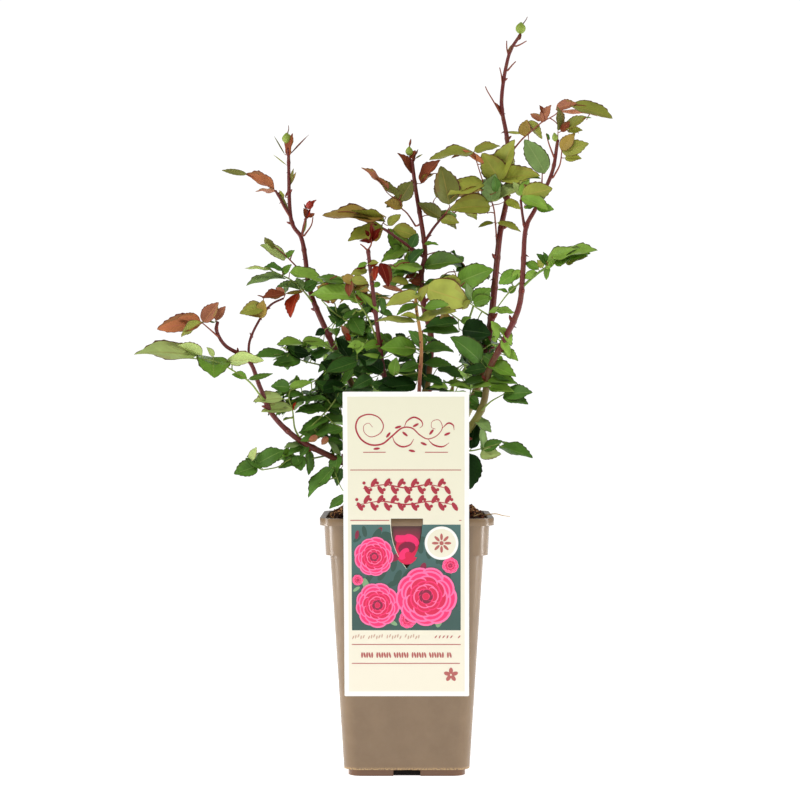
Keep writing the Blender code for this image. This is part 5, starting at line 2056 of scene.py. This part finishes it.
    def build_flourish(self) -> None:
        """Prints a pen flourish: two scrolls, a long wave, and leaves along it."""
        strokes = (
            (
                (-34, 362), (-38, 366), (-43, 363), (-42, 356), (-35, 352), (-26, 356), (-23, 364), (-28, 372),
                (-38, 375), (-48, 371), (-51, 361), (-46, 350), (-36, 344), (-24, 345), (-14, 353), (-4, 361),
                (6, 361), (14, 354), (22, 350), (31, 353), (37, 361), (34, 369), (27, 368), (26, 362), (30, 360),
            ),
            ((-14, 353), (-11, 346), (-4, 342), (4, 344), (8, 350)),
            ((-2, 361), (1, 368), (8, 372), (15, 369), (17, 364), (14, 361)),
            ((22, 350), (28, 344), (37, 342), (44, 346)),
            ((37, 361), (43, 366), (48, 364), (49, 359)),
        )
        leaves = (
            (-18, 354, 0.9), (-8, 362, 0.3), (-1, 355, -0.7), (10, 364, 0.5), (18, 345, -0.4), (26, 357, 0.9),
            (42, 355, 0.4), (-30, 340, 0.1), (6, 337.8, -0.2),
        )
        parts = [self.stroke(bends, 0.95, 0.3) for bends in strokes]
        parts += [self.disc(x, z, 3.4, 1.6, squash=0.36, turn=turn) for x, z, turn in leaves]
        self.finish_print("printed_flourish", parts, [Ink.WINE])

    def build_garlands(self) -> None:
        """Prints two heavy garlands of alternate leaves and berries on a waving stem."""
        parts = []
        for z, half, count in ((301.5, 44.0, 13), (284.5, 51.5, 15)):
            stem = ((-1, -2.5), (-0.5, 1.6), (0, -1.6), (0.5, 1.6), (1, -2.5))
            parts.append(self.stroke([(half * share, z + rise) for share, rise in stem], 0.8, 0.4))
            for i in range(count):
                side = 1 if i % 2 else -1
                x = (2 * i / (count - 1) - 1) * (half - 3)
                parts.append(self.disc(x + 1.2, z + side * 3.8, 5.0, 1.6, squash=0.46, turn=side * 1.0))
                parts.append(self.disc(x - 2.0, z - side * 3.4, 1.7, 1.6, sides=12))
        self.finish_print("printed_garlands", parts, [Ink.WINE])

    def build_picture(self) -> None:
        """Prints a generic picture of full and small blooms among leaves, cut away where the tongue was cut."""
        rand = random.Random(17)
        x0, x1, z0, z1 = self.picture
        inks = [Ink.TEAL, Ink.LEAF, Ink.PALE_LEAF, Ink.MAROON, Ink.ROSE_DEEP, Ink.ROSE, Ink.PINK]
        parts = [self.bar(x0, x1, z0, z1, 1.0)]
        for _ in range(90):
            radius = rand.uniform(4, 10)
            x, z = rand.uniform(x0 + radius, x1 - radius), rand.uniform(z0 + radius, z1 - radius)
            kind = rand.choice((1, 1, 1, 2)) if z < 200 else rand.choice((1, 1, 1, 1, 3))
            parts.append(self.disc(x, z, radius, rand.uniform(1.2, 1.9), kind, 0.42, rand.uniform(0, pi), 14))
        blooms = ((1, 164, 10), (-33, 229, 22), (45, 220, 9), (-30, 179, 25), (20, 188, 34), (-50, 205, 6))
        for level, bloom in enumerate(blooms):
            parts += self.bloom(rand, *bloom, 2.2 + level * 1.3)
        clear = []
        for part in parts:
            xs = [vert.co.x for vert in part.verts]
            top = max(vert.co.z for vert in part.verts)
            across = min(xs) < self.tongue_half and max(xs) > -self.tongue_half
            clear.append(carve_shape(part, self.hole()) if top > self.hinge_z - self.tongue_length and across else part)
        self.finish_print("printed_picture", clear, inks)

    def bloom(self, rand: random.Random, x: float, z: float, radius: float, lift: float) -> list[BMesh]:
        """Returns a full bloom: rings of overlapping petals with pale rims, each ring smaller and deeper in colour.

        Args:
            rand: The source of chance.
            x: Its centre across.
            z: Its centre's height.
            radius: Its radius.
            lift: The layer of ink that it starts at.

        Returns:
            Its petals.
        """
        petals = []
        rings = (
            (0.66, 0.36, 9, 6, 5), (0.54, 0.33, 8, 6, 5), (0.43, 0.29, 8, 6, 4), (0.32, 0.25, 7, 5, 4),
            (0.22, 0.21, 6, 6, 4), (0.13, 0.16, 5, 5, 3), (0.04, 0.1, 3, 5, 4),
        )
        for level, (reach, size, count, rim, body) in enumerate(rings if radius > 5 else rings[4:]):
            start = rand.uniform(0, pi)
            for i in range(count):
                angle = start + (2 * pi * i + rand.uniform(-0.5, 0.5)) / count
                spread = radius * size * rand.uniform(0.9, 1.12)
                height = lift + level * 0.17 + i * 0.012
                for far, share, kind, layer in ((0.0, 1.0, rim, 0.0), (0.1, 0.9, body, 0.006)):
                    away = radius * reach - spread * far
                    place = (x + away * cos(angle), z + away * sin(angle))
                    petals.append(self.disc(*place, spread * share, height + layer, kind, 0.72, angle + pi / 2, 18))
        return petals

    def build_small_print(self) -> None:
        """Prints the badge, rows of small beads and a rosette in the places of the small print."""
        x, z = self.badge
        parts = [self.disc(x, z, 17.2, 8.0, 0, sides=48), self.disc(x, z, 14.6, 9.0, 1, sides=48)]
        parts += self.petals(self.badge, 6.4, [i * pi / 4 for i in range(8)], 3.6, 10.0, 2, 0.4)
        parts.append(self.disc(x, z, 2.2, 11.0, 2, sides=16))
        self.finish_print("printed_badge", parts, [Ink.WHITE, Ink.CREAM, Ink.RUST])
        parts = []
        rows = (
            (-55, 14, 146.2, 2.7, 2.1, 1.15, 0), (30, 54, 146.0, 4.0, 1.9, 0.9, 1),
            (-46, 45, 127.0, 2.6, 3.1, pi / 2, 1),
        )
        for x0, x1, z, step, size, turn, kind in rows:
            for i in range(int((x1 - x0) / step) + 1):
                if i % 7 != 5:
                    lift = 0.4 * size * (i % 3 - 1) * (kind == 0)
                    parts.append(self.disc(x0 + i * step, z + lift, size, 1.5, kind, 0.34, turn + 0.25 * (i % 2), 10))
        parts += self.petals(self.rosette, 4.2, [i * 2 * pi / 5 + pi / 2 for i in range(5)], 3.4, 1.5, 1, 0.62)
        self.finish_print("printed_small_motifs", parts, [Ink.PALE_RUST, Ink.RUST])


# ---- the graft union


@dataclass
class Union:
    """The knobbly graft union that every cane springs from, standing on the compost, in millimetres."""

    radius: float = 15.5
    low_z: float = 270.0
    high_z: float = 300.0

    def build(self, bark: Material) -> None:
        """Builds the union as a lobed, wrinkled knob.

        Args:
            bark: Its material.
        """
        bm = bmesh.new()
        bmesh.ops.create_icosphere(bm, subdivisions=5, radius=1.0)
        middle = (self.low_z + self.high_z) / 2
        for vert in bm.verts:
            way = vert.co.normalized()
            lobe = 1 + 0.07 * cos(3 * np.arctan2(way.y, way.x))
            lobe = lobe + 0.16 * noise.noise(way * 1.7) + 0.05 * noise.noise(way * 6)
            vert.co = Vector((way.x * self.radius, way.y * self.radius, way.z * (self.high_z - middle))) * lobe
            vert.co.z += middle
        finish_piece("graft_knob", bm, [bark], ["graft_union"])


# ---- the studio


@dataclass
class Studio:
    """A white studio: soft light all round, low strip lights for the gleam on the pot's corners, and a long lens.

    A lamp is its name, place, width, height and power. The strips aim straight in, and the others at the crown's foot.
    """

    eye: Eye
    sensor: float = 36.0
    picture: float = 800.0
    sky: float = 0.36
    wall: float = 1.05
    floor_radius: float = 8.0
    aim_z: float = 0.35
    lamps: tuple[tuple[str, Triple, float, float, float], ...] = (
        ("key", (-1.3, -1.6, 2.4), 0.8, 0.8, 30.0),
        ("fill", (1.9, -1.5, 1.5), 1.2, 1.4, 6.0),
        ("side_left", (-1.5, -0.25, 0.5), 0.3, 1.6, 13.0),
        ("side_right", (1.5, -0.25, 0.5), 0.3, 1.6, 11.0),
        ("strip_left", (-0.55, -0.08, 0.08), 0.12, 0.15, 0.85),
        ("strip_right", (0.55, -0.08, 0.08), 0.12, 0.15, 0.7),
        ("back", (0.3, 2.2, 1.8), 1.6, 1.0, 12.0),
    )

    def build(self) -> None:
        """Builds the camera, lights, surroundings and floor."""
        scene = bpy.context.scene
        scene.view_settings.view_transform = "Standard"
        lens = bpy.data.cameras.new("camera")
        lens.sensor_width = self.sensor
        lens.lens = self.sensor * self.eye.reach / self.picture
        lens.clip_end = 50
        scene.camera = add_object("camera", lens)
        scene.camera.location = self.eye.place * MM
        scene.camera.rotation_euler = (pi / 2, 0, 0)
        for name, place, width, height, power in self.lamps:
            light = bpy.data.lights.new(name, "AREA")
            light.shape = "RECTANGLE"
            light.size, light.size_y, light.energy = width, height, power
            lamp = add_object(name, light)
            lamp.location = place
            aim = Vector((0, *place[1:])) if name.startswith("strip") else Vector((0, 0, self.aim_z))
            lamp.rotation_euler = (aim - Vector(place)).to_track_quat("-Z", "Y").to_euler()
            lamp.visible_camera = False
        self.build_surroundings()
        self.build_floor()

    def build_surroundings(self) -> None:
        """Lights the object evenly from all round, and shows pure white behind it."""
        world = bpy.data.worlds.new("white_studio")
        bpy.context.scene.world = world
        world.use_nodes = True
        tree = world.node_tree
        seen = add_node(tree, "LightPath", out="Is Camera Ray")
        strength = add_node(tree, "MapRange", {"Value": seen, "To Min": self.sky, "To Max": self.wall})
        background = tree.nodes["Background"].inputs
        put(tree, background["Color"], srgb("#ffffff"))
        put(tree, background["Strength"], strength)

    def build_floor(self) -> None:
        """Lays a white floor that glows enough to look as white as the wall behind."""
        bm = bmesh.new()
        bmesh.ops.create_circle(bm, cap_ends=True, segments=64, radius=self.floor_radius)
        glow = {"Emission_Color": srgb("#ffffff"), "Emission_Strength": 0.8}
        mesh = to_mesh("floor", bm)
        mesh.materials.append(new_material("white_paper_sweep", "#f4f4f4", 0.9, 0.1, **glow)[0])
        floor = add_object("floor", mesh)
        floor.location.z = -0.0005


def main() -> None:
    """Builds the bush, its pot and its label in order."""
    logging.basicConfig(level=logging.INFO, format="%(name)s: %(message)s")
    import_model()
    eye = Eye()
    barks = make_all(Bark)
    Pot().build(PlasticFinish().make())
    Compost().build(make_all(Grain))
    Label(make_all(Ink)).build()
    Union().build(barks[Bark.UNION])
    wood = Wood()
    wood.build_limbs(barks)
    foliage = Foliage(wood, eye)
    foliage.place_sprays()
    foliage.shade_label()
    foliage.keep_gaps()
    foliage.shade_dense()
    foliage.grow_masses()
    foliage.finish_leaves()
    wood.finish_stalks(barks)
    Tips().build(barks)
    Studio(eye).build()


if __name__ == "__main__":
    main()
